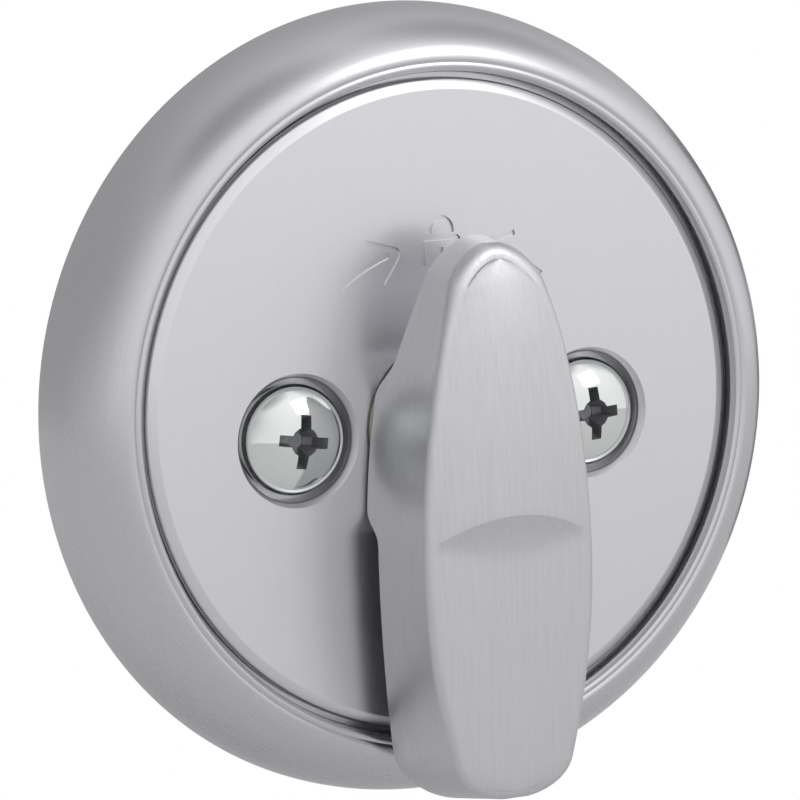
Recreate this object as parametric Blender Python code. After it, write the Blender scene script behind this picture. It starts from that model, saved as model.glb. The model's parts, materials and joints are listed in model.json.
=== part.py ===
"""Deadbolt door lock: a thumb-turn rose inside, a tubular bolt in the door's edge, a plain plate outside.

The origin is where the spindle's axis crosses the door's inside face. +X runs to the door's edge,
+Y runs through the door from the room side, and +Z is up. The lock is modelled locked: bolt thrown.
"""

import math

import bmesh
import bpy
from mathutils import Matrix, Vector

mm = 0.001
FIT = 0.3 * mm  # clearance left between separate pieces

# Door and standard lock sizes.
DOOR_THICKNESS = 44.5 * mm
BACKSET = 60.0 * mm
BOLT_THROW = 25.4 * mm
SCREW_OFFSET = 13.75 * mm  # each mounting screw from the spindle's axis

# Inside rose. Its centre sits above the spindle's axis.
ROSE_RADIUS = 33.5 * mm
ROSE_CENTRE_Z = 1.75 * mm
CREST_RADIUS = 28.75 * mm
CREST_HEIGHT = 8.5 * mm
FACE_RADIUS = 27.3 * mm
FACE_HEIGHT = 7.8 * mm
FACE_THICKNESS = 1.2 * mm
SUPPORT_THICKNESS = 2.3 * mm
SCREW_HEAD_RADIUS = 4.65 * mm
SCREW_RADIUS = 2.4 * mm

# Thumb-turn: heights above the spindle's axis, half width, and distance off the door.
TURN_TOP = 16.2 * mm
TURN_BOTTOM = -29.9 * mm
TURN_TOP_DRAFT = 0.4 * mm
TURN_BOTTOM_DRAFT = 1.2 * mm
TURN_WIDEST_Z = -10.2 * mm
TURN_HALF_WIDTH = 7.85 * mm
TURN_FRONT = 18.5 * mm
TURN_CROWN = 1.3 * mm
TURN_CROWN_BELOW = 0.3 * mm
SHAFT_RADIUS = 5.5 * mm
SHAFT_END_Y = 9.0 * mm
BLADE_RADIUS = 3.0 * mm
BLADE_FLAT = 1.5 * mm

# Bolt cartridge, in the middle of the door. Its centre line is above the spindle's axis, which
# leaves room over the spindle for a crank long enough to throw the bolt in a quarter turn.
BOLT_Y = DOOR_THICKNESS / 2
BOLT_Z = 4.5 * mm
BOLT_RADIUS = 9.7 * mm
BOLT_HALF_THICKNESS = 6.35 * mm
DRIVE_PIN_OFFSET = BOLT_THROW / 2  # along X and Z from the spindle when the bolt is thrown
DRIVE_PIN_RADIUS = 1.25 * mm
CAGE_HALF_GAP = 4.8 * mm
CAGE_WALL = 1.2 * mm
CAGE_HALF_HEIGHT = 10.8 * mm
SLEEVE_RADIUS = 11.4 * mm
SLEEVE_BORE = 10.1 * mm
FACEPLATE_SIZE = (25.4 * mm, 57.15 * mm)
FACEPLATE_SCREW_OFFSET = 20.7 * mm

ROUND = 48  # sides of a large round piece
SMALL_ROUND = 20


# ---- materials -------------------------------------------------------------------------------

def metal(name, colour, roughness, metallic=1.0):
    material = bpy.data.materials.new(name)
    material.use_nodes = True
    shader = material.node_tree.nodes["Principled BSDF"]
    shader.inputs["Base Color"].default_value = (*colour, 1.0)
    shader.inputs["Roughness"].default_value = roughness
    shader.inputs["Metallic"].default_value = metallic
    return material


SATIN_CHROME = metal("satin_chrome", (0.60, 0.60, 0.62), 0.35)
POLISHED_CHROME = metal("polished_chrome", (0.80, 0.80, 0.80), 0.10)
ZINC_STEEL = metal("zinc_plated_steel", (0.62, 0.63, 0.62), 0.40)
SPRING_STEEL = metal("spring_steel", (0.35, 0.36, 0.38), 0.30)
BOLT_STEEL = metal("satin_steel", (0.55, 0.55, 0.56), 0.32)
NYLON = metal("nylon", (0.85, 0.84, 0.80), 0.50, metallic=0.0)
RUBBER = metal("rubber", (0.03, 0.03, 0.03), 0.80, metallic=0.0)


# ---- modelling helpers -----------------------------------------------------------------------

def finish(name, mesh_data, material, location=(0, 0, 0), parent=None):
    """A named object from a bmesh, with its normals pointing out and round faces shaded smooth."""
    bmesh.ops.remove_doubles(mesh_data, verts=mesh_data.verts, dist=1e-6)
    bmesh.ops.recalc_face_normals(mesh_data, faces=mesh_data.faces)
    mesh = bpy.data.meshes.new(name)
    mesh_data.to_mesh(mesh)
    mesh_data.free()
    mesh.shade_smooth()
    mesh.set_sharp_from_angle(angle=math.radians(32))
    obj = bpy.data.objects.new(name, mesh)
    bpy.context.scene.collection.objects.link(obj)
    obj.location = location
    obj.parent = parent
    if material:
        mesh.materials.append(material)
    return obj


def axis_turn(axis):
    """The rotation that carries local Y onto the named axis."""
    return {
        "Y": Matrix.Identity(3),
        "X": Matrix.Rotation(math.radians(-90), 3, "Z"),
        "Z": Matrix.Rotation(math.radians(90), 3, "X"),
    }[axis]


def turned(name, profile, material, centre=(0, 0, 0), sides=ROUND, axis="Y", parent=None):
    """A closed profile of (radius, distance along the axis) points spun about the axis."""
    shape = bmesh.new()
    points = [shape.verts.new((radius, along, 0)) for radius, along in profile]
    edges = [shape.edges.new((a, b)) for a, b in zip(points, points[1:] + points[:1])]
    bmesh.ops.spin(
        shape, geom=points + edges, cent=(0, 0, 0), axis=(0, 1, 0),
        angle=math.tau, steps=sides, use_merge=True,
    )
    bmesh.ops.remove_doubles(shape, verts=shape.verts, dist=1e-6)
    flat = [f for f in shape.faces if f.calc_area() < 1e-13]
    bmesh.ops.delete(shape, geom=flat, context="FACES")
    loose = [e for e in shape.edges if not e.link_faces]
    bmesh.ops.delete(shape, geom=loose, context="EDGES")
    shape.normal_update()
    # Each flat end becomes one face, which a Boolean cuts more cleanly than a fan of triangles.
    poles = [v for v in shape.verts if math.hypot(v.co.x, v.co.z) < 1e-7
             and all(abs(f.normal.y) > 0.9999 for f in v.link_faces)]
    bmesh.ops.dissolve_verts(shape, verts=poles)
    shape.transform(axis_turn(axis).to_4x4())
    return finish(name, shape, material, centre, parent)


def rod(name, radius, start, end, material, centre=(0, 0, 0), sides=SMALL_ROUND, axis="Y", parent=None):
    """A plain cylinder from start to end along the axis."""
    profile = [(0, start), (radius, start), (radius, end), (0, end)]
    return turned(name, profile, material, centre, sides, axis, parent)


def extruded(name, outline, start, end, material, centre=(0, 0, 0), axis="Y", parent=None):
    """A flat outline extruded along the axis. With axis Y its points are (x, z), with X they are (y, z)."""
    shape = bmesh.new()
    if axis == "Y":
        points = [shape.verts.new((a, start, b)) for a, b in outline]
    else:
        points = [shape.verts.new((start, a, b)) for a, b in outline]
    face = shape.faces.new(points)
    pushed = bmesh.ops.extrude_face_region(shape, geom=[face])["geom"]
    way = Vector((0, end - start, 0) if axis == "Y" else (end - start, 0, 0))
    moved = [g for g in pushed if isinstance(g, bmesh.types.BMVert)]
    bmesh.ops.translate(shape, verts=moved, vec=way)
    return finish(name, shape, material, centre, parent)


def box(name, low, high, material=None, parent=None):
    outline = [(low[0], low[2]), (high[0], low[2]), (high[0], high[2]), (low[0], high[2])]
    return extruded(name, outline, low[1], high[1], material, parent=parent)


def arc(centre, radius, start, end, steps):
    """Points on an arc, or on an ellipse where radius is a pair, angles in degrees from the first axis."""
    across, up = radius if isinstance(radius, tuple) else (radius, radius)
    angles = [math.radians(start + (end - start) * i / steps) for i in range(steps + 1)]
    return [(centre[0] + across * math.cos(a), centre[1] + up * math.sin(a)) for a in angles]


def rounded_rectangle(width, height, corner, steps=5):
    half_width, half_height = width / 2 - corner, height / 2 - corner
    outline = []
    for sign_x, sign_y, start in ((1, 1, 0), (-1, 1, 90), (-1, -1, 180), (1, -1, 270)):
        outline += arc((sign_x * half_width, sign_y * half_height), corner, start, start + 90, steps)
    return outline


def flatted_circle(radius, half_flat, steps=9):
    """A circle with two flats across its first axis, as (first, second) points."""
    limit = math.degrees(math.asin(half_flat / radius))
    top = arc((0, 0), radius, 90 - limit, 90 + limit, steps)
    return top + [(-a, -b) for a, b in top]


def combine(obj, tool, operation="DIFFERENCE"):
    """A Boolean between two objects. The tool becomes a hidden helper."""
    step = obj.modifiers.new(f"{operation.lower()}_{tool.name}", "BOOLEAN")
    step.operation = operation
    step.object = tool
    tool.hide_render = True
    tool.display_type = "WIRE"
    return obj


def drill(obj, radius, start, end, centre=(0, 0, 0), sides=SMALL_ROUND, axis="Y"):
    count = len(obj.modifiers)
    return combine(obj, rod(f"{obj.name}_hole_{count}", radius, start, end, None, centre, sides, axis))


def mirrored_pairs(offset):
    """The names and X places of a left and a right piece."""
    return (("left", -offset), ("right", offset))


# ---- frame -----------------------------------------------------------------------------------

for old in list(bpy.data.objects):
    bpy.data.objects.remove(old)

turn_axis = bpy.data.objects.new("turn_axis", None)
bolt_carriage = bpy.data.objects.new("bolt_carriage", None)
bolt_carriage.location = (0, BOLT_Y, BOLT_Z)
for empty in (turn_axis, bolt_carriage):
    bpy.context.scene.collection.objects.link(empty)

rose_centre = (0, 0, ROSE_CENTRE_Z)


# ---- inside rose -----------------------------------------------------------------------------

def rose_shell():
    """The turned outer ring: a swelling wall, a rounded crest, a groove, and a ledge for the face plate."""
    wall = ROSE_RADIUS - 1.5 * mm
    ledge = -FACE_HEIGHT + FACE_THICKNESS + FIT
    groove_radius = FACE_RADIUS + 0.45 * mm
    lip = CREST_RADIUS - groove_radius
    angles = [math.radians(15 * i) for i in range(7)]
    outer = [(CREST_RADIUS + (ROSE_RADIUS - CREST_RADIUS) * max(math.cos(a), 0) ** 1.1, -CREST_HEIGHT * math.sin(a) ** 1.1)
             for a in angles]
    inner_lip = arc((CREST_RADIUS, -CREST_HEIGHT + lip), (-lip, -lip), 90, 0, 2)[1:]
    inside = [
        (groove_radius, ledge),
        (24.5 * mm, ledge),
        (24.5 * mm, ledge + 1.2 * mm),
        (29.4 * mm, ledge + 1.2 * mm),
        (wall - 0.6 * mm, ledge + 2.0 * mm),
        (wall, ledge + 3.6 * mm),
        (wall, 0),
    ]
    return turned("rose_shell", outer + inner_lip + inside, SATIN_CHROME, rose_centre)


def face_plate():
    """The flat disc inside the ring, with a drawn cup for each screw head."""
    back = -FACE_HEIGHT + FACE_THICKNESS
    edge = 0.4 * mm
    rim = arc((FACE_RADIUS - edge, -FACE_HEIGHT + edge), (edge, -edge), 0, 90, 2)
    profile = [(0, back), (FACE_RADIUS, back)] + rim + [(0, -FACE_HEIGHT)]
    plate = turned("face_plate", profile, SATIN_CHROME, rose_centre)
    seat = -FACE_HEIGHT + 2.7 * mm
    mouth = SCREW_HEAD_RADIUS + 0.3 * mm
    for side, x in mirrored_pairs(SCREW_OFFSET):
        cup = rod(f"cup_{side}", mouth + 1.2 * mm, -FACE_HEIGHT + 0.6 * mm, seat + 1.2 * mm, None, (x, 0, 0))
        combine(plate, cup, "UNION")
        sunk = [
            (0, -FACE_HEIGHT - 1 * mm),
            (mouth + 1.5 * mm, -FACE_HEIGHT - 1 * mm),
            (mouth, -FACE_HEIGHT + 0.5 * mm),
            (mouth, seat),
            (0, seat),
        ]
        combine(plate, turned(f"recess_{side}", sunk, None, (x, 0, 0), SMALL_ROUND))
        drill(plate, SCREW_RADIUS + 0.5 * mm, seat - 1 * mm, seat + 3 * mm, (x, 0, 0))
    return drill(plate, 7.3 * mm, -9 * mm, -4 * mm, sides=32)


def support_plate():
    """The steel plate that takes the screws' pull. A tab on it stops the cam at each end of the turn."""
    plate = rod("support_plate", 31.3 * mm, -SUPPORT_THICKNESS, 0, ZINC_STEEL, rose_centre, ROUND)
    for side, x in mirrored_pairs(SCREW_OFFSET):
        boss = rod(f"boss_{side}", 4.9 * mm, -3.6 * mm, -1 * mm, None, (x, 0, 0))
        combine(plate, boss, "UNION")
    tab = box("tab", (-1.8 * mm, -1 * mm, -12.5 * mm), (1.8 * mm, 4.4 * mm, -9.6 * mm))
    combine(plate, tab, "UNION")
    for side, x in mirrored_pairs(SCREW_OFFSET):
        drill(plate, SCREW_RADIUS + 0.4 * mm, -5 * mm, 1 * mm, (x, 0, 0))
    drill(plate, SHAFT_RADIUS + 0.6 * mm, -4 * mm, 1 * mm, sides=32)
    return drill(plate, DETENT_BALL_RADIUS + 0.25 * mm, -1.8 * mm, 1 * mm, (0, 0, DETENT_OFFSET))


def mounting_screw(side, x):
    """A machine screw with an oval head and a cross recess, from the rose into its outside post."""
    head_top = -FACE_HEIGHT - 1.3 * mm
    head_seat = -FACE_HEIGHT + 2.4 * mm
    crown = arc((0, head_top + 2.45 * mm), (SCREW_HEAD_RADIUS, -2.45 * mm), 90, 10, 4)
    profile = crown + [
        (SCREW_HEAD_RADIUS, head_seat),
        (SCREW_RADIUS, head_seat),
        (SCREW_RADIUS, 40.4 * mm),
        (SCREW_RADIUS - 0.8 * mm, 41.4 * mm),
        (0, 41.4 * mm),
    ]
    screw = turned(f"mounting_screw_{side}", profile, POLISHED_CHROME, (x, 0, 0), SMALL_ROUND)
    for turn in (0, 90):
        slot = box(f"cross_{side}_{turn}", (-2.3 * mm, head_top - 1 * mm, -0.5 * mm),
                   (2.3 * mm, head_top + 1.2 * mm, 0.5 * mm))
        slot.location = (x, 0, 0)
        slot.rotation_euler = (0, math.radians(turn), 0)
        combine(screw, slot)
    return screw


# ---- thumb-turn and what turns with it -------------------------------------------------------

DETENT_OFFSET = 8.5 * mm
DETENT_BALL_RADIUS = 1.2 * mm
CAM_START_Y = 2.6 * mm
CAM_END_Y = 4.2 * mm


def end_rounding(inside, length, power):
    """The share of its width that an outline keeps at this distance inside its end."""
    if inside >= length:
        return 1.0
    return max(1 - (1 - max(inside, 0) / length) ** power, 0) ** (1 / power)


def front_half_width(z):
    """Half width of the thumb-turn's front: a long swelling body between two round ends."""
    narrowing = 6.5 if z > TURN_WIDEST_Z else 8.4  # per metre of distance squared
    body = TURN_HALF_WIDTH - narrowing * (z - TURN_WIDEST_Z) ** 2
    return body * end_rounding(TURN_TOP - z, 3.6 * mm, 2.0) * end_rounding(z - TURN_BOTTOM, 3.0 * mm, 2.3)


def back_half_width(z):
    """Half width of its back, which is broader, most of all at the lower end."""
    narrowing = 6.6 if z > TURN_WIDEST_Z else 3.0
    body = TURN_HALF_WIDTH + 0.2 * mm - narrowing * (z - TURN_WIDEST_Z) ** 2
    top, bottom = TURN_TOP + TURN_TOP_DRAFT, TURN_BOTTOM - TURN_BOTTOM_DRAFT
    return body * end_rounding(top - z, 3.6 * mm, 2.0) * end_rounding(z - bottom, 5.0 * mm, 2.0)


def turn_front(z):
    """How far the front edge stands off the door: level below, falling away towards the narrow end."""
    above = max(z + 8 * mm, 0)
    return TURN_FRONT - 1.0 * mm * (above / (24.3 * mm)) ** 4


def turn_back(z):
    """How far the back stands off the door: close to the face plate at the hub, clear of it at the ends."""
    points = ((-32, 10.1), (-8.4, 10.1), (-6.8, 8.1), (3.6, 8.1), (5.9, 10.6), (12.5, 12.8), (18, 13.8))
    for (low, start), (high, end) in zip(points, points[1:]):
        if z <= high * mm:
            share = (z / mm - low) / (high - low)
            return (start + (end - start) * share) * mm
    return points[-1][1] * mm


def turn_crown(z):
    """How far the front's middle stands proud of its edges: full above the thumb scoop, slight below it."""
    below = min(max((-6.5 * mm - z) / (3.8 * mm), 0), 1)
    return TURN_CROWN_BELOW + (TURN_CROWN - TURN_CROWN_BELOW) * (1 - below) ** 2


def turn_section(share):
    """The ring of points round the thumb-turn at a share of its length: back, drafted sides, crowned front."""
    bottom, top = TURN_BOTTOM, TURN_TOP
    z_front = bottom + (top - bottom) * share
    z_back = bottom - TURN_BOTTOM_DRAFT + (top - bottom + TURN_TOP_DRAFT + TURN_BOTTOM_DRAFT) * share
    width, front = front_half_width(z_front), turn_front(z_front)
    corner = min(0.9 * mm, 0.5 * width)
    left = [(-back_half_width(z_back), -turn_back(z_back), z_back)]
    left += [(x, y, z_front) for x, y in arc((-width + corner, -front + corner), (-corner, -corner), 0, 90, 3)]
    flat = width - corner
    crown = turn_crown(z_front) * width / TURN_HALF_WIDTH
    left += [(-flat * s, -front - crown * (1 - s * s), z_front) for s in (0.66, 0.33, 0)]
    return left + [(-x, y, z) for x, y, z in reversed(left[:-1])]


def thumbturn():
    """The cast knob, lofted through its sections, with a shaft that runs back through the rose."""
    shape = bmesh.new()
    steps = 20
    shares = [0.5 - 0.499 * math.cos(math.pi * i / steps) for i in range(steps + 1)]
    loops = [[shape.verts.new(point) for point in turn_section(share)] for share in shares]
    for low, high in zip(loops, loops[1:]):
        edges = [shape.edges.get((a, b)) or shape.edges.new((a, b))
                 for loop in (low, high) for a, b in zip(loop, loop[1:] + loop[:1])]
        bmesh.ops.bridge_loops(shape, edges=edges)
    for loop in (loops[0], loops[-1]):
        shape.faces.new(loop)
    knob = finish("thumbturn", shape, SATIN_CHROME, parent=turn_axis)
    shaft_profile = [
        (0, -12 * mm), (SHAFT_RADIUS, -12 * mm), (SHAFT_RADIUS, 2.3 * mm), (0, 2.3 * mm),
    ]
    combine(knob, turned("shaft", shaft_profile, None, sides=32), "UNION")
    keyed = extruded("keyed_shaft", flatted_circle(SHAFT_RADIUS, 4.3 * mm), 0, SHAFT_END_Y, None)
    combine(knob, keyed, "UNION")
    groove = [(4.5 * mm, 4.5 * mm), (7 * mm, 4.5 * mm), (7 * mm, 5.8 * mm), (4.5 * mm, 5.8 * mm)]
    combine(knob, turned("clip_groove", groove, None, sides=32))
    combine(knob, d_bar("blade_socket", FIT, -3.5 * mm, SHAFT_END_Y + 1 * mm, None))
    return drill(knob, 1.15 * mm, -6 * mm, 6 * mm, (0, 7.4 * mm, 0), 16, "X")


def d_bar(name, grow, start, end, material, parent=None):
    """A bar of D section: a circle with one flat."""
    radius, flat = BLADE_RADIUS + grow, BLADE_FLAT + grow
    corner = math.degrees(math.acos(flat / radius))
    return extruded(name, arc((0, 0), radius, corner, 360 - corner, 14), start, end, material, parent=parent)


def stop_cam():
    """The keyed disc behind the rose. Its long notch rides the tab, and its arc groove rides the ball."""
    cam = rod("stop_cam", 11 * mm, CAM_START_Y, CAM_END_Y, ZINC_STEEL, sides=48, parent=turn_axis)
    notch = arc((0, 0), 9.2 * mm, 167, 283, 14) + arc((0, 0), 15 * mm, 283, 167, 10)
    combine(cam, extruded("notch", notch, 1 * mm, 6 * mm, None))
    inner, outer = DETENT_OFFSET - 1.4 * mm, DETENT_OFFSET + 1.4 * mm
    groove = arc((0, 0), inner, -9, 99, 14) + arc((0, 0), outer, 99, -9, 14)
    combine(cam, extruded("ball_groove", groove, 1 * mm, CAM_START_Y + 0.45 * mm, None))
    hole = extruded("keyed_hole", flatted_circle(SHAFT_RADIUS + FIT, 4.3 * mm + FIT), 1 * mm, 6 * mm, None)
    return combine(cam, hole)


def retaining_ring():
    ring = arc((0, 0), 7.4 * mm, -65, 245, 22) + arc((0, 0), 4.85 * mm, 245, -65, 18)
    return extruded("retaining_ring", ring, 4.8 * mm, 5.5 * mm, SPRING_STEEL, parent=turn_axis)


def wave_washer():
    """A thin spring washer with three waves, between the support plate and the cam."""
    shape = bmesh.new()
    steps, mid_y, wave, half = 36, 1.3 * mm, 0.85 * mm, 0.15 * mm
    rings = []
    for i in range(steps):
        angle = math.tau * i / steps
        lift = mid_y + wave * math.sin(3 * angle)
        corners = ((5.9, -1), (7.0, -1), (7.0, 1), (5.9, 1))
        rings.append([shape.verts.new((r * mm * math.cos(angle), lift + s * half, r * mm * math.sin(angle)))
                      for r, s in corners])
    for ring, following in zip(rings, rings[1:] + rings[:1]):
        for k in range(4):
            shape.faces.new((ring[k], ring[(k + 1) % 4], following[(k + 1) % 4], following[k]))
    return finish("wave_washer", shape, SPRING_STEEL)


def hub_bushing():
    back = -SUPPORT_THICKNESS - FIT
    profile = [
        (5.8 * mm, -7.5 * mm), (7.0 * mm, -7.5 * mm), (7.0 * mm, back - 0.9 * mm),
        (8.4 * mm, back - 0.9 * mm), (8.4 * mm, back), (5.8 * mm, back),
    ]
    return turned("hub_bushing", profile, NYLON, sides=32)


def detent():
    """A ball and its coil spring in a pocket of the support plate, pressing on the cam."""
    radius = DETENT_BALL_RADIUS
    meridian = arc((0, 0), radius, -90, 90, 6)
    turned("detent_ball", meridian, SPRING_STEEL, (0, 1.7 * mm, DETENT_OFFSET), 12)
    shape = bmesh.new()
    turns, steps, coil, wire = 2.5, 10, 0.85 * mm, 0.16 * mm
    low, high = -1.4 * mm, 0.1 * mm
    rings = []
    for i in range(int(turns * steps) + 1):
        angle = math.tau * i / steps
        y = low + (high - low) * i / (turns * steps)
        ring = [(coil + wire * math.cos(a), y + wire * math.sin(a)) for a in (math.tau * k / 5 for k in range(5))]
        rings.append([shape.verts.new((r * math.cos(angle), h, r * math.sin(angle))) for r, h in ring])
    for ring, following in zip(rings, rings[1:]):
        for k in range(5):
            shape.faces.new((ring[k], ring[(k + 1) % 5], following[(k + 1) % 5], following[k]))
    for ring in (rings[0], rings[-1]):
        shape.faces.new(ring)
    finish("detent_spring", shape, SPRING_STEEL, (0, 0, DETENT_OFFSET))


def torque_blade():
    blade = d_bar("torque_blade", 0, -3.2 * mm, 31.2 * mm, ZINC_STEEL, turn_axis)
    return drill(blade, 1.15 * mm, -6 * mm, 6 * mm, (0, 7.4 * mm, 0), 16, "X")


def blade_pin():
    return rod("blade_pin", 0.85 * mm, -4.2 * mm, 4.2 * mm, SPRING_STEEL, (0, 7.4 * mm, 0), 12, "X", turn_axis)


# ---- bolt cartridge --------------------------------------------------------------------------

def crank():
    """The hub that the blade turns, with a forked arm that carries the drive pin along."""
    half = CAGE_HALF_GAP - 0.4 * mm
    trunnion = CAGE_HALF_GAP + CAGE_WALL - 0.1 * mm
    profile = [
        (0, -trunnion), (4.6 * mm, -trunnion), (4.6 * mm, -half), (5.8 * mm, -half),
        (5.8 * mm, half), (4.6 * mm, half), (4.6 * mm, trunnion), (0, trunnion),
    ]
    hub = turned("crank", profile, ZINC_STEEL, (0, BOLT_Y, 0), 32, parent=turn_axis)
    tip, slot_start, slot_half, arm_half = 19.0 * mm, 13.3 * mm, 2.45 * mm, 4.4 * mm
    fork = [(arm_half, 0), (arm_half, tip), (slot_half, tip)]
    fork += arc((0, slot_start), (slot_half, -slot_half), 0, 180, 6)
    fork += [(-slot_half, tip), (-arm_half, tip), (-arm_half, 0)]
    arm = extruded("crank_arm", fork, BOLT_Y + 0.3 * mm, BOLT_Y + 2.7 * mm, None)
    arm.rotation_euler = (0, math.radians(45), 0)
    combine(hub, arm, "UNION")
    return combine(hub, d_bar("crank_bore", FIT, BOLT_Y - 8 * mm, BOLT_Y + 8 * mm, None))


CAGE_RIVETS = ((-17.5 * mm, -4.3 * mm), (15.9 * mm, -4.4 * mm), (-17.5 * mm, 6.0 * mm), (15.9 * mm, 6.0 * mm))


def cage_outline(width, height, corner, tail):
    """A rounded rectangle whose upper rear corner is rounded much more than the others."""
    outline = []
    for sign_x, sign_y, start, radius in ((1, 1, 0, corner), (-1, 1, 90, tail), (-1, -1, 180, corner), (1, -1, 270, corner)):
        centre = (sign_x * (width / 2 - radius), sign_y * (height / 2 - radius))
        outline += arc(centre, radius, start, start + 90, 6 if radius == tail else 3)
    return outline


def cage_plate(side, direction):
    """One stamped side of the cage, with its lower edge turned in at both ends."""
    near, far = CAGE_HALF_GAP, CAGE_HALF_GAP + CAGE_WALL
    y = sorted((BOLT_Y + direction * near, BOLT_Y + direction * far))
    outline = cage_outline(37.5 * mm, 2 * CAGE_HALF_HEIGHT, 2 * mm, 7.5 * mm)
    plate = extruded(f"cage_plate_{side}", outline, y[0], y[1], ZINC_STEEL, (-0.75 * mm, 0, BOLT_Z))
    floor = BOLT_Z - CAGE_HALF_HEIGHT
    tip = sorted((BOLT_Y + direction * 0.2 * mm, BOLT_Y + direction * (far - 0.3 * mm)))
    for end, (start_x, end_x) in enumerate(((-15.5 * mm, -8 * mm), (8 * mm, 14 * mm))):
        flange = box(f"flange_{side}_{end}", (start_x, tip[0], floor), (end_x, tip[1], floor + 1.0 * mm))
        combine(plate, flange, "UNION")
    drill(plate, 4.6 * mm + FIT, BOLT_Y - 9 * mm, BOLT_Y + 9 * mm)
    for _, x in mirrored_pairs(SCREW_OFFSET):
        drill(plate, SCREW_RADIUS + 0.6 * mm, BOLT_Y - 9 * mm, BOLT_Y + 9 * mm, (x, 0, 0))
    for x, z in CAGE_RIVETS:
        drill(plate, 1.0 * mm + FIT, BOLT_Y - 9 * mm, BOLT_Y + 9 * mm, (x, 0, z), 12)
    return plate


def cage_rivet(number, x, z):
    """A shouldered rivet that spaces the two cage plates and holds them together."""
    shoulder = CAGE_HALF_GAP - FIT
    wall = CAGE_HALF_GAP + CAGE_WALL + FIT
    half = [(1.6 * mm, shoulder), (1.0 * mm, shoulder), (1.0 * mm, wall), (1.6 * mm, wall),
            (1.2 * mm, wall + 0.6 * mm), (0, wall + 0.6 * mm)]
    profile = half + [(r, -y) for r, y in reversed(half)]
    return turned(f"cage_rivet_{number}", profile, ZINC_STEEL, (x, BOLT_Y, z), 10)


def bolt_sleeve():
    """The front tube that guides the bolt, closed behind except for the link's window."""
    back, wall, front = 18.5 * mm, 19.9 * mm, BACKSET - 3.3 * mm
    profile = [(0, back), (SLEEVE_RADIUS, back), (SLEEVE_RADIUS, front), (SLEEVE_BORE, front),
               (SLEEVE_BORE, wall), (0, wall)]
    sleeve = turned("bolt_sleeve", profile, ZINC_STEEL, (0, BOLT_Y, BOLT_Z), 36, "X")
    window = box("window", (10 * mm, BOLT_Y - 2.9 * mm, 9.6 * mm), (21 * mm, BOLT_Y + 0.1 * mm, 14.4 * mm))
    return combine(sleeve, window)


def bolt():
    """The steel bolt: a flatted round bar, slotted behind for its link and bored for a hardened pin."""
    rear, tip, chamfer = 46.0 * mm, BACKSET + BOLT_THROW, 0.8 * mm
    section = flatted_circle(BOLT_RADIUS, BOLT_HALF_THICKNESS)
    body = extruded("bolt", section, rear, tip - chamfer, BOLT_STEEL, axis="X", parent=bolt_carriage)
    shape = bmesh.new()
    shape.from_mesh(body.data)
    front = max(shape.faces, key=lambda f: f.calc_center_median().x)
    pushed = bmesh.ops.extrude_face_region(shape, geom=[front])["geom"]
    for vert in (g for g in pushed if isinstance(g, bmesh.types.BMVert)):
        vert.co = (tip, vert.co.y * 0.9, vert.co.z * 0.93)
    bmesh.ops.delete(shape, geom=[front], context="FACES_ONLY")
    shape.to_mesh(body.data)
    shape.free()
    slot = box("link_slot", (40 * mm, BOLT_Y - 2.8 * mm, BOLT_Z - 0.2 * mm), (52.6 * mm, BOLT_Y, 20 * mm))
    combine(body, slot)
    drill(body, 2.3 * mm, 40 * mm, 80.6 * mm, (0, BOLT_Y, 1.2 * mm), 20, "X")
    return drill(body, 1.8 * mm, -9 * mm, 9 * mm, (49.2 * mm, BOLT_Y, 9.0 * mm), 16)


def bolt_link():
    """The flat link that joins the bolt to the drive pin."""
    eye = 3.0 * mm
    low, top = 10.0 * mm, 13.9 * mm
    start = DRIVE_PIN_OFFSET
    outline = arc((start, DRIVE_PIN_OFFSET), eye, 20, 300, 12)
    outline += [(46.6 * mm, low), (46.6 * mm, 4.9 * mm), (52.3 * mm, 4.9 * mm), (52.3 * mm, 13.4 * mm),
                (46 * mm, top)]
    link = extruded("bolt_link", outline, -2.5 * mm, -0.3 * mm, ZINC_STEEL, (0, 0, -BOLT_Z), parent=bolt_carriage)
    hole = DRIVE_PIN_RADIUS + FIT
    drill(link, hole, BOLT_Y - 5 * mm, BOLT_Y + 5 * mm, (start, 0, DRIVE_PIN_OFFSET), 16)
    return drill(link, 1.8 * mm, BOLT_Y - 5 * mm, BOLT_Y + 5 * mm, (49.2 * mm, 0, 9.0 * mm), 16)


def bolt_pins():
    """The drive pin, the rivet that holds the link in the bolt, and the hardened pin inside the bolt."""
    drive = [(0, -3.4 * mm), (1.9 * mm, -3.4 * mm), (1.9 * mm, -2.8 * mm), (DRIVE_PIN_RADIUS, -2.8 * mm),
             (DRIVE_PIN_RADIUS, 3.3 * mm), (0, 3.3 * mm)]
    at = (DRIVE_PIN_OFFSET, 0, DRIVE_PIN_OFFSET - BOLT_Z)
    turned("drive_pin", drive, SPRING_STEEL, at, 12, parent=bolt_carriage)
    rod("bolt_rivet", 1.5 * mm, -6.2 * mm, 6.2 * mm, ZINC_STEEL, (49.2 * mm, 0, 9.0 * mm - BOLT_Z), 16,
        parent=bolt_carriage)
    rod("hardened_pin", 2.0 * mm, 55 * mm, 80.2 * mm, SPRING_STEEL, (0, 0, 1.2 * mm - BOLT_Z), 16, "X",
        bolt_carriage)


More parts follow.
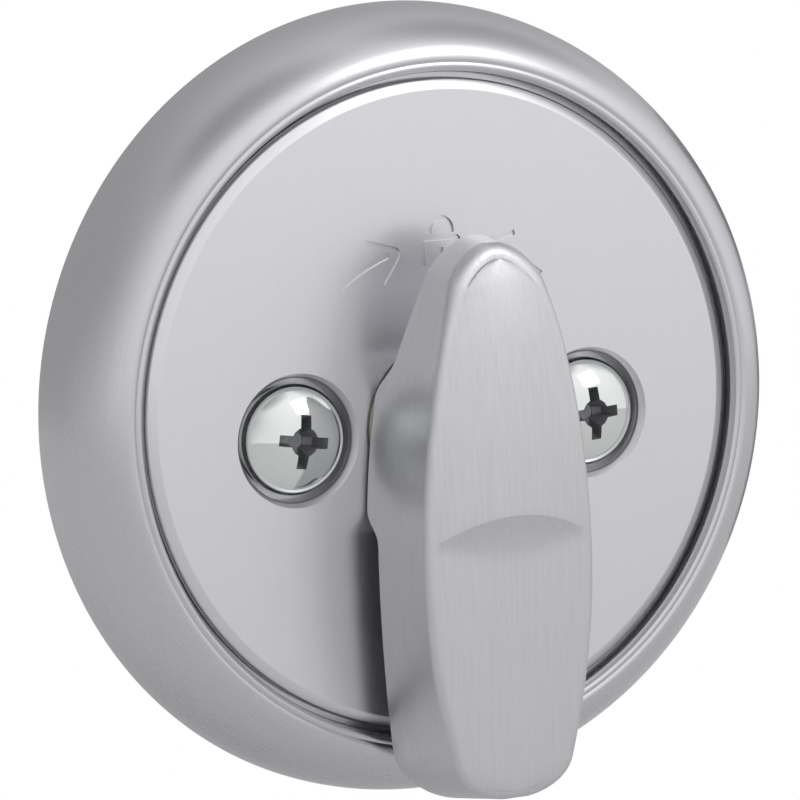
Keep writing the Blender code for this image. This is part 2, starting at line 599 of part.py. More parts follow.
def edge_plate(name, size, corner, start, end, screw_radius, material):
    """A plate on the door's edge, with the bolt's opening and two screw holes."""
    outline = rounded_rectangle(size[0], size[1], corner)
    plate = extruded(name, outline, start, end, material, (0, BOLT_Y, BOLT_Z), "X")
    opening = extruded(f"{name}_opening", flatted_circle(BOLT_RADIUS + 0.4 * mm, BOLT_HALF_THICKNESS + 0.35 * mm),
                       start - 1 * mm, end + 1 * mm, None, (0, BOLT_Y, BOLT_Z), "X")
    combine(plate, opening)
    for step in (-1, 1):
        at = (0, BOLT_Y, BOLT_Z + step * FACEPLATE_SCREW_OFFSET)
        drill(plate, screw_radius, start - 1 * mm, end + 1 * mm, at, axis="X")
    return plate


def faceplate_screw(side, step):
    """A countersunk wood screw through both plates into the door's edge."""
    top = BACKSET
    profile = [
        (0, top - 0.15 * mm), (3.6 * mm, top - 0.15 * mm), (3.6 * mm, top - 0.8 * mm),
        (1.8 * mm, top - 2.6 * mm), (1.8 * mm, top - 17 * mm), (0, top - 21 * mm),
    ]
    at = (0, BOLT_Y, BOLT_Z + step * FACEPLATE_SCREW_OFFSET)
    screw = turned(f"faceplate_screw_{side}", profile, SATIN_CHROME, at, 16, "X")
    for wide, tall in ((1.9, 0.4), (0.4, 1.9)):
        low = (top - 1.3 * mm, at[1] - wide * mm, at[2] - tall * mm)
        high = (top + 1 * mm, at[1] + wide * mm, at[2] + tall * mm)
        combine(screw, box(f"cross_{side}_{wide}", low, high))
    return screw


# ---- outside plate ---------------------------------------------------------------------------

def outside_plate():
    """The plain domed plate on the door's outside face."""
    face = DOOR_THICKNESS
    shoulder, height, dome = 26.5 * mm, 6.6 * mm, 0.9 * mm
    outer = arc((shoulder, face), (ROSE_RADIUS - shoulder, height), 0, 90, 5)
    profile = outer + [
        (13 * mm, face + height + 0.7 * mm),
        (0, face + height + dome),
        (0, face + 5.0 * mm),
        (25.6 * mm, face + 4.6 * mm),
        (30.2 * mm, face + 3.0 * mm),
        (ROSE_RADIUS - 1.9 * mm, face),
    ]
    return turned("outside_plate", profile, SATIN_CHROME, rose_centre)


def outside_post(side, x):
    """An internally threaded post on the outside plate, which the mounting screw pulls on."""
    start, end = 29.2 * mm, DOOR_THICKNESS + 4.5 * mm
    bore = SCREW_RADIUS + FIT
    profile = [(bore, start), (4.1 * mm, start), (4.1 * mm, end), (0, end), (0, 43 * mm), (bore, 42.5 * mm)]
    return turned(f"outside_post_{side}", profile, ZINC_STEEL, (x, 0, 0), SMALL_ROUND)


def outside_gasket():
    face = DOOR_THICKNESS
    profile = [(28.4 * mm, face + 0.1 * mm), (31.2 * mm, face + 0.1 * mm), (30.6 * mm, face + 2.0 * mm),
               (28.4 * mm, face + 2.6 * mm)]
    return turned("outside_gasket", profile, RUBBER, rose_centre, 40)


# ---- assembly --------------------------------------------------------------------------------

rose_shell()
face_plate()
support_plate()
hub_bushing()
wave_washer()
detent()
thumbturn()
stop_cam()
retaining_ring()
torque_blade()
blade_pin()
for side, x in mirrored_pairs(SCREW_OFFSET):
    mounting_screw(side, x)
    outside_post(side, x)
crank()
for side, direction in (("inside", -1), ("outside", 1)):
    cage_plate(side, direction)
for number, (x, z) in enumerate(CAGE_RIVETS, 1):
    cage_rivet(number, x, z)
bolt_sleeve()
bolt()
bolt_link()
bolt_pins()
edge_plate("bolt_backing_plate", (24.6 * mm, 56.3 * mm), 5.6 * mm, BACKSET - 3.0 * mm, BACKSET - 1.7 * mm,
           3.4 * mm, ZINC_STEEL)
edge_plate("bolt_faceplate", FACEPLATE_SIZE, 6 * mm, BACKSET - 1.4 * mm, BACKSET, 4.0 * mm, SATIN_CHROME)
for side, step in (("upper", 1), ("lower", -1)):
    faceplate_screw(side, step)
outside_plate()
outside_gasket()
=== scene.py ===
# %% [markdown]
# # A one-sided deadbolt, in satin chrome
# A deadbolt is three groups of metal. On the room side a round rose carries the thumb-turn. In the door's edge a
# tubular cartridge holds the bolt. On the outside a plain domed plate hides the two threaded posts that the rose's
# screws pull on. Each piece below is built at its real size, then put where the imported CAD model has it.

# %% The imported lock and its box
import json
import math
import bmesh
import bpy
from mathutils import Matrix, Vector


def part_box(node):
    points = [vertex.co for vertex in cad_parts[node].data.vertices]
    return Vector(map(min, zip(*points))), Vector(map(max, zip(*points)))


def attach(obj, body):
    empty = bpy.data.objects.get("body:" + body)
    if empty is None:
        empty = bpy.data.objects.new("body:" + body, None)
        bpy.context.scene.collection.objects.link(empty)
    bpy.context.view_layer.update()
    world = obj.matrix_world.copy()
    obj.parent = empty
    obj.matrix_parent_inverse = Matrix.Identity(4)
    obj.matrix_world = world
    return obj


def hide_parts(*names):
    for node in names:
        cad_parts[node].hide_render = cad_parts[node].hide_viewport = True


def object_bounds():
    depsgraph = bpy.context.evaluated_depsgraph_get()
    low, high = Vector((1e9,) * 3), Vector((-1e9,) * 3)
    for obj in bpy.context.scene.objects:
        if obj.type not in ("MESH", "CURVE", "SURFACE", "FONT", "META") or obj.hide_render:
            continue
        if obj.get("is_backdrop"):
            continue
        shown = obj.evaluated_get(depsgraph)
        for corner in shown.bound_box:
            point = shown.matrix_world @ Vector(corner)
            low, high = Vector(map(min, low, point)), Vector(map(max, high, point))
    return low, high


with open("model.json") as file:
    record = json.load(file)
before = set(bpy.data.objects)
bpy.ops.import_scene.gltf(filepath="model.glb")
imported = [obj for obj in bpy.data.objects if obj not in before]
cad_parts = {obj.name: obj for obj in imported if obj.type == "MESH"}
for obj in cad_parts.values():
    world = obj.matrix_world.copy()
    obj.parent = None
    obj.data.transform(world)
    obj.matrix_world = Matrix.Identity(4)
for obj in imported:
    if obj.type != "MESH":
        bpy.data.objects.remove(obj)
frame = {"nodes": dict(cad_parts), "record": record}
cad_box = [list(corner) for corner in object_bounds()]
mm = 0.001
body_of_node = {}
for body, nodes in frame["record"]["behaviour"]["bodies"].items():
    for each in nodes:
        body_of_node[each] = body

# %% [markdown]
# ## Sizes
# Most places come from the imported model: the middle of a node's box is its axis, and its ends are its faces. The rest
# are the few standard sizes that a box can't tell, such as the pitch of a thread.

# %% Places read from the CAD
def middle(name):
    low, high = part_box(name)
    return (low + high) / 2


def span(name, axis):
    """The low and high end of a CAD piece along an axis."""
    low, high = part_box(name)
    return low["XYZ".index(axis)], high["XYZ".index(axis)]


ROSE_Z = middle("rose_shell").z
ROSE_RADIUS = (span("rose_shell", "X")[1] - span("rose_shell", "X")[0]) / 2
CREST_Y = span("rose_shell", "Y")[0]
FACE_Y = span("face_plate", "Y")[0]
FACE_RADIUS = (span("face_plate", "X")[1] - span("face_plate", "X")[0]) / 2
SCREW_X = middle("mounting_screw_right").x
HEAD_RADIUS = (span("mounting_screw_right", "Z")[1] - span("mounting_screw_right", "Z")[0]) / 2
BOLT_Y, BOLT_Z = middle("bolt_sleeve").y, middle("bolt_sleeve").z
OUTSIDE_Y = span("outside_plate", "Y")[0]
print(f"rose {2000 * ROSE_RADIUS:.1f} mm across, screws {2000 * SCREW_X:.1f} mm apart, door {1000 * OUTSIDE_Y:.1f} mm")

# %% [markdown]
# ## Node trees
# Every finish and every Geometry Nodes shape is a tree of nodes. One small function adds a node, sets what is a plain
# value, and links what is another node's output, so a tree reads like a recipe.

# %% One function that adds a node
def add(tree, kind, settings=None, **inputs):
    """Adds a node. An input is named with _ for a space, or i0, i1... by its place. Sockets are linked, values set."""
    made = tree.nodes.new(kind)
    for name, value in (settings or {}).items():
        setattr(made, name, value)
    for name, value in inputs.items():
        by_place = name[0] == "i" and name[1:].isdigit()
        socket = made.inputs[int(name[1:])] if by_place else made.inputs[name.replace("_", " ")]
        if isinstance(value, bpy.types.NodeSocket):
            tree.links.new(value, socket)
        else:
            socket.default_value = value
    return made


def linear(hex_code, alpha=1.0):
    """An sRGB hex colour as the linear values that Blender works in."""
    parts = [int(hex_code[i:i + 2], 16) / 255 for i in (1, 3, 5)]
    return tuple(c / 12.92 if c <= 0.04045 else ((c + 0.055) / 1.055) ** 2.4 for c in parts) + (alpha,)


print("middle grey #808080 is", round(linear("#808080")[0], 3), "in linear light")

# %% [markdown]
# ## The finishes
# Satin chrome is nickel and chromium plated over cast zinc that was first brushed, so it shines like chrome along the
# brush lines and spreads light across them. The chromium sets the colour, a cool light grey, and the brushing sets
# the roughness. A metal's colour is its reflection, so the base colour is light and metallic is 1. The lines are a
# noise that is squeezed across the brushing and stretched along it.
#
# Real brush lines are 0.02 to 0.05 mm apart, too fine to show here, so they are drawn about 0.2 mm apart.

# %% A brushed metal: noise stretched along the brush lines
def brushed_metal(name, colour, roughness, lines, along, depth=0.004, mottle=0.06, anisotropy=0.0):
    """lines and along are the noise's sizes in mm across X, Y, Z and a name for the brushing: 'straight' or 'spun'."""
    finish = bpy.data.materials.new(name)
    finish.use_nodes = True
    tree = finish.node_tree
    shader = tree.nodes["Principled BSDF"]
    shader.inputs["Metallic"].default_value = 1.0
    shader.inputs["Anisotropic"].default_value = anisotropy
    place = add(tree, "ShaderNodeTexCoord").outputs["Object"]
    if along == "spun":
        moved = add(tree, "ShaderNodeMapping", i0=place, Location=(0, 0, -ROSE_Z)).outputs[0]
        parts = add(tree, "ShaderNodeSeparateXYZ", i0=moved)
        flat = add(tree, "ShaderNodeVectorMath", {"operation": "MULTIPLY"}, i0=moved, i1=(1, 0, 1)).outputs[0]
        radius = add(tree, "ShaderNodeVectorMath", {"operation": "LENGTH"}, i0=flat).outputs["Value"]
        round_way = add(tree, "ShaderNodeVectorMath", {"operation": "NORMALIZE"}, i0=flat).outputs[0]
        spun = add(tree, "ShaderNodeVectorMath", {"operation": "SCALE"}, i0=round_way, Scale=lines[0]).outputs[0]
        depth_way = add(tree, "ShaderNodeMath", {"operation": "ADD"}, i0=radius, i1=parts.outputs["Y"]).outputs[0]
        ring = add(tree, "ShaderNodeMath", {"operation": "DIVIDE"}, i0=depth_way, i1=lines[1] * mm).outputs[0]
        grain = add(tree, "ShaderNodeTexNoise", {"noise_dimensions": "4D"}, Vector=spun, W=ring, Scale=1.0,
                    Detail=3.0, Roughness=0.6).outputs["Fac"]
    else:
        squeezed = add(tree, "ShaderNodeMapping", i0=place, Scale=tuple(1 / (size * mm) for size in lines)).outputs[0]
        grain = add(tree, "ShaderNodeTexNoise", Vector=squeezed, Scale=1.0, Detail=3.0, Roughness=0.6).outputs["Fac"]
    cloud = add(tree, "ShaderNodeTexNoise", Vector=place, Scale=1 / (6 * mm), Detail=3.0).outputs["Fac"]
    both = add(tree, "ShaderNodeMath", {"operation": "MULTIPLY_ADD"}, i0=cloud, i1=0.6, i2=grain).outputs[0]
    dull = add(tree, "ShaderNodeMapRange", Value=both, From_Min=0.4, From_Max=1.2, To_Min=roughness * 0.85,
               To_Max=roughness * 1.18).outputs[0]
    tree.links.new(dull, shader.inputs["Roughness"])
    light, dark = linear(colour), tuple(c * (1 - mottle) for c in linear(colour)[:3]) + (1,)
    tint = add(tree, "ShaderNodeMix", {"data_type": "RGBA"}, Factor=grain)
    tint.inputs[6].default_value, tint.inputs[7].default_value = light, dark
    tree.links.new(tint.outputs[2], shader.inputs["Base Color"])
    bump = add(tree, "ShaderNodeBump", Strength=1.0, Distance=depth * mm, Height=grain)
    tree.links.new(bump.outputs[0], shader.inputs["Normal"])
    return finish


BRUSHED_CHROME = brushed_metal("satin chrome, brushed lengthwise", "#D4D4D7", 0.36, (0.22, 0.22, 7.0), "straight",
                               0.016, 0.16)
SPUN_CHROME = brushed_metal("satin chrome, spun on a lathe", "#CDCDD1", 0.27, (2.0, 0.18), "spun", 0.002)
LAPPED_CHROME = brushed_metal("satin chrome, lapped flat", "#DCDCDF", 0.32, (0.35, 0.35, 1.6), "straight", 0.0012, 0.03)
BOLT_STEEL = brushed_metal("steel bar, ground lengthwise", "#C4C4C2", 0.26, (4.0, 0.15, 0.15), "straight", 0.004)
ZINC = brushed_metal("steel, clear zinc plated", "#B9BCBF", 0.36, (0.5, 0.5, 0.5), "straight", 0.003, 0.16)
SPRING = brushed_metal("spring steel, oiled", "#7C7E82", 0.28, (0.3, 0.3, 0.3), "straight", 0.003, 0.2)
BRIGHT_CHROME = brushed_metal("bright chrome plate", "#E2E4E3", 0.07, (0.6, 0.6, 0.6), "straight", 0.0012, 0.05)
# The recess finish is rougher, as a punched recess is, and its darker colour is painted shade in the cross.
RECESS_CHROME_PAINTED_SHADE = brushed_metal("chrome in a punched recess, dull, with painted shade", "#A4A5A8", 0.6, (0.3, 0.3, 0.3), "straight", 0.004, 0.25)
print("metals:", len(bpy.data.materials))

# %% [markdown]
# The bushing is moulded nylon and the outside gasket is foam rubber. Neither is a metal: their base colour is what
# they scatter, and an even, waxy or matt surface is what the eye reads.

# %% A moulded finish: soft speckle and a faint skin
def moulded(name, colour, roughness, ior, grain_mm, depth):
    finish = bpy.data.materials.new(name)
    finish.use_nodes = True
    tree = finish.node_tree
    shader = tree.nodes["Principled BSDF"]
    shader.inputs["IOR"].default_value = ior
    place = add(tree, "ShaderNodeTexCoord").outputs["Object"]
    speck = add(tree, "ShaderNodeTexNoise", Vector=place, Scale=1 / (grain_mm * mm), Detail=4.0).outputs["Fac"]
    dull = add(tree, "ShaderNodeMapRange", Value=speck, To_Min=roughness * 0.8, To_Max=roughness * 1.2).outputs[0]
    tree.links.new(dull, shader.inputs["Roughness"])
    tint = add(tree, "ShaderNodeMix", {"data_type": "RGBA"}, Factor=speck)
    tint.inputs[6].default_value = linear(colour)
    tint.inputs[7].default_value = tuple(c * 0.8 for c in linear(colour)[:3]) + (1,)
    tree.links.new(tint.outputs[2], shader.inputs["Base Color"])
    bump = add(tree, "ShaderNodeBump", Distance=depth * mm, Height=speck)
    tree.links.new(bump.outputs[0], shader.inputs["Normal"])
    return finish


NYLON = moulded("nylon, injection moulded", "#E6E2D6", 0.42, 1.53, 0.4, 0.01)
FOAM = moulded("foam rubber, closed cell", "#26262A", 0.85, 1.45, 0.25, 0.08)
print("finishes:", len(bpy.data.materials))

# %% [markdown]
# ## Shapes that follow a rule
# Most of a lock is turned on a lathe, so its main tree is a lathe: it takes a chain of points, each a radius and a
# distance along the axis, and spins it. A Screw modifier could do this too, but the tree takes the number of sides and
# the finish as inputs, and merges the poles. It copies each point of the chain onto a column of a grid, then bends the
# grid round the axis.

# %% Building and running a Geometry Nodes tree
def geometry_tree(name, **inputs):
    """A tree with a mesh in, a mesh out and named inputs."""
    tree = bpy.data.node_groups.new(name, "GeometryNodeTree")
    tree.interface.new_socket("Geometry", in_out="OUTPUT", socket_type="NodeSocketGeometry")
    for label, kind in {"Geometry": "Geometry", **inputs}.items():
        tree.interface.new_socket(label, in_out="INPUT", socket_type="NodeSocket" + kind)
    return tree, tree.nodes.new("NodeGroupInput").outputs


def end_tree(tree, geometry, finish):
    """The last nodes of every tree: real geometry in one finish."""
    real = add(tree, "GeometryNodeRealizeInstances", Geometry=geometry).outputs[0]
    painted = add(tree, "GeometryNodeSetMaterial", Geometry=real, Material=finish).outputs[0]
    add(tree, "NodeGroupOutput", i0=painted)
    return tree


def grow(tree, points, edges=(), **values):
    """Runs a tree on some points and returns the plain mesh that it makes."""
    seed = bpy.data.meshes.new("seed")
    seed.from_pydata(points, edges, [])
    holder = bpy.data.objects.new("holder", seed)
    bpy.context.scene.collection.objects.link(holder)
    step = holder.modifiers.new("grow", "NODES")
    step.node_group = tree
    for socket in tree.interface.items_tree:
        if socket.in_out == "INPUT" and socket.name in values:
            step[socket.identifier] = values[socket.name]
    mesh = bpy.data.meshes.new_from_object(holder.evaluated_get(bpy.context.evaluated_depsgraph_get()))
    holder.modifiers.remove(step)
    bpy.data.objects.remove(holder)
    return mesh


def lathe_tree():
    tree, given = geometry_tree("lathe", Sides="Int", Ring="Bool", Finish="Material")
    count = add(tree, "GeometryNodeAttributeDomainSize", Geometry=given["Geometry"]).outputs["Point Count"]
    rows = add(tree, "ShaderNodeMath", {"operation": "ADD"}, i0=count, i1=given["Ring"]).outputs[0]
    columns = add(tree, "ShaderNodeMath", {"operation": "ADD"}, i0=given["Sides"], i1=1.0).outputs[0]
    grid = add(tree, "GeometryNodeMeshGrid", Size_X=1.0, Size_Y=1.0, Vertices_X=rows, Vertices_Y=columns).outputs[0]
    at = add(tree, "ShaderNodeSeparateXYZ", i0=add(tree, "GeometryNodeInputPosition").outputs[0]).outputs
    along = add(tree, "ShaderNodeMath", {"operation": "ADD"}, i0=at["X"], i1=0.5).outputs[0]
    last = add(tree, "ShaderNodeMath", {"operation": "SUBTRACT"}, i0=rows, i1=1.0).outputs[0]
    place = add(tree, "ShaderNodeMath", {"operation": "MULTIPLY"}, i0=along, i1=last).outputs[0]
    whole = add(tree, "ShaderNodeMath", {"operation": "ROUND"}, i0=place).outputs[0]
    index = add(tree, "ShaderNodeMath", {"operation": "MODULO"}, i0=whole, i1=count).outputs[0]
    position = add(tree, "GeometryNodeInputPosition").outputs[0]
    taken = add(tree, "GeometryNodeSampleIndex", {"data_type": "FLOAT_VECTOR"}, Geometry=given["Geometry"],
                Value=position, Index=index).outputs[0]
    part = add(tree, "ShaderNodeSeparateXYZ", i0=taken).outputs
    share = add(tree, "ShaderNodeMath", {"operation": "ADD"}, i0=at["Y"], i1=0.5).outputs[0]
    angle = add(tree, "ShaderNodeMath", {"operation": "MULTIPLY"}, i0=share, i1=math.tau).outputs[0]
    cosine = add(tree, "ShaderNodeMath", {"operation": "COSINE"}, i0=angle).outputs[0]
    sine = add(tree, "ShaderNodeMath", {"operation": "SINE"}, i0=angle).outputs[0]
    x = add(tree, "ShaderNodeMath", {"operation": "MULTIPLY"}, i0=part["X"], i1=cosine).outputs[0]
    z = add(tree, "ShaderNodeMath", {"operation": "MULTIPLY"}, i0=part["X"], i1=sine).outputs[0]
    bent = add(tree, "ShaderNodeCombineXYZ", X=x, Y=part["Y"], Z=z).outputs[0]
    spun = add(tree, "GeometryNodeSetPosition", Geometry=grid, Position=bent).outputs[0]
    closed = add(tree, "GeometryNodeMergeByDistance", Geometry=spun, Distance=2e-6).outputs[0]
    return end_tree(tree, closed, given["Finish"])


LATHE = lathe_tree()
test = grow(LATHE, [(0, 0, 0), (1, 0, 0), (1, 2, 0), (0, 2, 0)], Sides=12, Ring=False, Finish=ZINC)
print("a test cylinder has", len(test.vertices), "points and", len(test.polygons), "faces")

# %% [markdown]
# The second tree sweeps a small profile along a rising coil. With a round profile it's the detent's spring. With a
# four-cornered one, half sunk in a plain shank, it's a screw thread: the corner that points out is the thread's crest.

# %% A coil tree, for springs and threads
def coil_tree():
    tree, given = geometry_tree("coil", Turns="Float", Start_Radius="Float", End_Radius="Float", Rise="Float",
                                Wire="Float", Corners="Int", Finish="Material")
    path = add(tree, "GeometryNodeCurveSpiral", Resolution=28, Rotations=given["Turns"],
               Start_Radius=given["Start_Radius"], End_Radius=given["End_Radius"], Height=given["Rise"]).outputs[0]
    upright = add(tree, "GeometryNodeSetCurveNormal", {"mode": "Z_UP"}, i0=path).outputs[0]
    profile = add(tree, "GeometryNodeCurvePrimitiveCircle", {"mode": "RADIUS"}, Resolution=given["Corners"],
                  Radius=given["Wire"]).outputs[0]
    swept = add(tree, "GeometryNodeCurveToMesh", Curve=upright, Profile_Curve=profile, Fill_Caps=True).outputs[0]
    laid = add(tree, "GeometryNodeTransform", Geometry=swept, Rotation=(math.radians(-90), 0, 0)).outputs[0]
    return end_tree(tree, laid, given["Finish"])


COIL = coil_tree()


def coil(radius, start, end, pitch, wire, corners, finish, end_radius=None):
    """A coil round the Y axis, from start to end."""
    rise = end - start
    mesh = grow(COIL, [(0, 0, 0)], Turns=rise / pitch, Start_Radius=radius, End_Radius=end_radius or radius, Rise=rise,
                Wire=wire, Corners=corners, Finish=finish)
    mesh.transform(Matrix.Translation((0, start, 0)))
    return mesh


test = coil(2.1 * mm, 0, 8 * mm, 0.8 * mm, 0.3 * mm, 4, ZINC)
reach = [max(v.co[i] for v in test.vertices) / mm for i in range(3)]
print("a test thread reaches x %.2f, y %.2f, z %.2f mm" % tuple(reach))

# %% [markdown]
# The third tree runs a square-bottomed cutter along a path, as a rolling stamp would, for the legend on the face plate.

# %% A stroke tree, for the stamped legend
def stroke_tree():
    tree, given = geometry_tree("stroke", Width="Float", Depth="Float", Finish="Material")
    path = add(tree, "GeometryNodeMeshToCurve", Mesh=given["Geometry"]).outputs[0]
    upright = add(tree, "GeometryNodeSetCurveNormal", {"mode": "Z_UP"}, i0=path).outputs[0]
    profile = add(tree, "GeometryNodeCurvePrimitiveQuadrilateral", {"mode": "RECTANGLE"}, Width=given["Width"],
                  Height=given["Depth"]).outputs[0]
    swept = add(tree, "GeometryNodeCurveToMesh", Curve=upright, Profile_Curve=profile, Fill_Caps=True).outputs[0]
    laid = add(tree, "GeometryNodeTransform", Geometry=swept, Rotation=(math.radians(90), 0, 0)).outputs[0]
    return end_tree(tree, laid, given["Finish"])


STROKE = stroke_tree()


def stroke(path, width, depth, y, finish, closed=False):
    """A square groove's cutter along a path of (x, z) points, reaching depth behind y and depth in front of it."""
    links = [(i, i + 1) for i in range(len(path) - 1)] + ([(len(path) - 1, 0)] if closed else [])
    mesh = grow(STROKE, [(x, z, 0) for x, z in path], links, Width=width, Depth=2 * depth, Finish=finish)
    mesh.transform(Matrix.Translation((0, y, 0)))
    return mesh


test = stroke([(0, 0), (0.01, 0)], 0.6 * mm, 0.12 * mm, 0, ZINC)
size = [(max(v.co[i] for v in test.vertices) - min(v.co[i] for v in test.vertices)) / mm for i in range(3)]
print("a test stroke measures %.2f x %.2f x %.2f mm" % tuple(size))

# %% [markdown]
# ## Shapes given point by point
# What isn't turned or coiled is stamped from sheet, cast or cut. Stamped pieces are outlines with holes, given
# thickness and a softly rounded edge. Booleans join a boss to a plate or cut a slot in a bolt, as the real tools do.

# %% Turned, stamped and cut pieces
def outward(mesh):
    """Closes seams and turns every face out."""
    shape = bmesh.new()
    shape.from_mesh(mesh)
    bmesh.ops.remove_doubles(shape, verts=shape.verts, dist=1e-6)
    bmesh.ops.dissolve_degenerate(shape, edges=shape.edges, dist=1e-7)
    bmesh.ops.recalc_face_normals(shape, faces=shape.faces)
    shape.to_mesh(mesh)
    shape.free()
    return mesh


def lie_along(mesh, axis, centre):
    """Turns a piece made round Y onto its real axis and moves it to its centre."""
    way = {"Y": Matrix.Identity(4), "X": Matrix.Rotation(math.radians(-90), 4, "Z")}[axis]
    mesh.transform(Matrix.Translation(centre) @ way)
    return mesh


def turned(profile, finish, centre=(0, 0, 0), sides=96, axis="Y", ring=False):
    """A chain of (radius, distance along the axis) points spun by the lathe tree."""
    return outward(lie_along(grow(LATHE, [(r, y, 0) for r, y in profile], Sides=sides, Ring=ring, Finish=finish), axis,
                             centre))


def arc(centre, radius, start, end, steps):
    """Points along an arc, angles in degrees. A pair of radii makes it an ellipse."""
    across, up = radius if isinstance(radius, tuple) else (radius, radius)
    angles = [math.radians(start + (end - start) * i / steps) for i in range(steps + 1)]
    return [(centre[0] + across * math.cos(a), centre[1] + up * math.sin(a)) for a in angles]


def rounded(points, radius, steps=3, closed=False):
    """The same chain of points with its corners rounded off."""
    chain = []
    for i, point in enumerate(points):
        here, before, after = Vector(point), Vector(points[i - 1]), Vector(points[(i + 1) % len(points)])
        if not closed and i in (0, len(points) - 1):
            chain.append(tuple(here))
            continue
        back, on = before - here, after - here
        if back.length < 1e-7 or on.length < 1e-7 or back.angle(on) > math.radians(160):
            chain.append(tuple(here))
            continue
        start = here + back.normalized() * min(radius, 0.45 * back.length)
        end = here + on.normalized() * min(radius, 0.45 * on.length)
        for k in range(steps + 1):
            share = k / steps
            chain.append(tuple(start.lerp(here, share).lerp(here.lerp(end, share), share)))
    return chain


def stamped(outlines, start, end, edge, finish, axis="Y"):
    """Sheet between start and end along the axis, cut to an outline and its holes, with softly rounded edges."""
    curve = bpy.data.curves.new("outline", "CURVE")
    curve.dimensions, curve.fill_mode = "2D", "BOTH"
    curve.extrude, curve.bevel_depth, curve.offset, curve.bevel_resolution = (end - start) / 2 - edge, edge, -edge, 1
    for outline in outlines:
        line = curve.splines.new("POLY")
        line.points.add(len(outline) - 1)
        for point, (a, b) in zip(line.points, outline):
            point.co = (a, b, 0, 1)
        line.use_cyclic_u = True
    holder = bpy.data.objects.new("holder", curve)
    bpy.context.scene.collection.objects.link(holder)
    mesh = bpy.data.meshes.new_from_object(holder.evaluated_get(bpy.context.evaluated_depsgraph_get()))
    bpy.data.objects.remove(holder)
    mid = (start + end) / 2
    for vert in mesh.vertices:
        a, b, c = vert.co
        vert.co = (a, mid + c, b) if axis == "Y" else (mid + c, a, b)
    mesh.materials.clear()
    mesh.materials.append(finish)
    return outward(mesh)


def box(low, high, finish=None, taper=1.0):
    """A block from corner to corner. With a taper its far end along Y is that share as large."""
    shape = bmesh.new()
    mid_x, mid_z = (low[0] + high[0]) / 2, (low[2] + high[2]) / 2
    rows = []
    for y, share in ((low[1], 1.0), (high[1], taper)):
        half_x, half_z = (high[0] - low[0]) / 2 * share, (high[2] - low[2]) / 2 * share
        rows.append([shape.verts.new((mid_x + i * half_x, y, mid_z + k * half_z)) for i,
                     k in ((-1, -1), (1, -1), (1, 1), (-1, 1))])
    shape.faces.new(rows[0])
    shape.faces.new(rows[1])
    for i in range(4):
        shape.faces.new((rows[0][i], rows[0][(i + 1) % 4], rows[1][(i + 1) % 4], rows[1][i]))
    mesh = bpy.data.meshes.new("box")
    shape.to_mesh(mesh)
    shape.free()
    if finish:
        mesh.materials.append(finish)
    return outward(mesh)


def carve(mesh, tools, operation="DIFFERENCE"):
    """Cuts each tool from a mesh, or joins each to it, one at a time."""
    for tool in tools:
        holders = [bpy.data.objects.new("holder", each) for each in (mesh, tool)]
        for holder in holders:
            bpy.context.scene.collection.objects.link(holder)
        step = holders[0].modifiers.new("carve", "BOOLEAN")
        step.operation, step.object, step.solver = operation, holders[1], "EXACT"
        mesh = outward(bpy.data.meshes.new_from_object(holders[0].evaluated_get(bpy.context.evaluated_depsgraph_get())))
        for holder in holders:
            bpy.data.objects.remove(holder)
    return mesh


def one_finish(mesh, finish):
    """Gives every face the same finish."""
    mesh.materials.clear()
    mesh.materials.append(finish)
    mesh.polygons.foreach_set("material_index", [0] * len(mesh.polygons))
    return mesh


def gathered(meshes):
    """Several closed meshes as one, such as a shank and its thread."""
    shape = bmesh.new()
    for each in meshes:
        shape.from_mesh(each)
    mesh = bpy.data.meshes.new("gathered")
    shape.to_mesh(mesh)
    shape.free()
    return one_finish(mesh, [m for m in meshes[0].materials if m][0])


def rod(radius, start, end, centre=(0, 0, 0), axis="Y", finish=None, sides=48, soft=0.0):
    profile = rounded([(0, start), (radius, start), (radius, end), (0, end)], soft, 2) if soft else [
        (0, start), (radius, start), (radius, end), (0, end)]
    return turned(profile, finish or ZINC, centre, sides, axis)


def circle(x, z, radius, sides=48):
    return arc((x, z), radius, 0, 360 * (1 - 1 / sides), sides - 1)


print("shape functions ready")

# %% [markdown]
# A finished mesh takes the place of its CAD piece: it rides the same body and hides that piece. Normals are weighted
# by face area, so that a wide flat face next to a small bevel stays flat to the eye.

# %% Putting a finished mesh in its place
def place(node, mesh, name=None):
    mesh.shade_smooth()
    mesh.set_sharp_from_angle(angle=math.radians(32))
    return settle(node, mesh, name)


def settle(node, mesh, name=None):
    """The last step of a piece whose sharp edges are already marked."""
    holder = bpy.data.objects.new("holder", mesh)
    bpy.context.scene.collection.objects.link(holder)
    step = holder.modifiers.new("flat faces stay flat", "WEIGHTED_NORMAL")
    step.keep_sharp = True
    made = bpy.data.meshes.new_from_object(holder.evaluated_get(bpy.context.evaluated_depsgraph_get()))
    bpy.data.objects.remove(holder)
    one_finish(made, [m for m in made.materials if m][0])
    obj = bpy.data.objects.new(name or node + "_finished", made)
    obj.data.name = obj.name
    bpy.context.scene.collection.objects.link(obj)
    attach(obj, body_of_node[node])
    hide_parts(node)
    low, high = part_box(node)
    points = [v.co for v in made.vertices]
    over = max(max(low[i] - min(p[i] for p in points), max(p[i] for p in points) - high[i]) for i in range(3))
    axes = "".join("xyz"[i] for i in range(3) if max(low[i] - min(p[i] for p in points),
                                                     max(p[i] for p in points) - high[i]) > 5e-6)
    edges = {}
    for face in made.polygons:
        for key in face.edge_keys:
            edges[key] = edges.get(key, 0) + 1
    gaps = sum(count != 2 for count in edges.values())
    print(f"{obj.name}: {len(made.polygons)} faces, {gaps} open edges, {over / mm:+.3f} mm past its CAD box {axes}")
    return obj


print("ready to place", len(frame["nodes"]), "pieces")

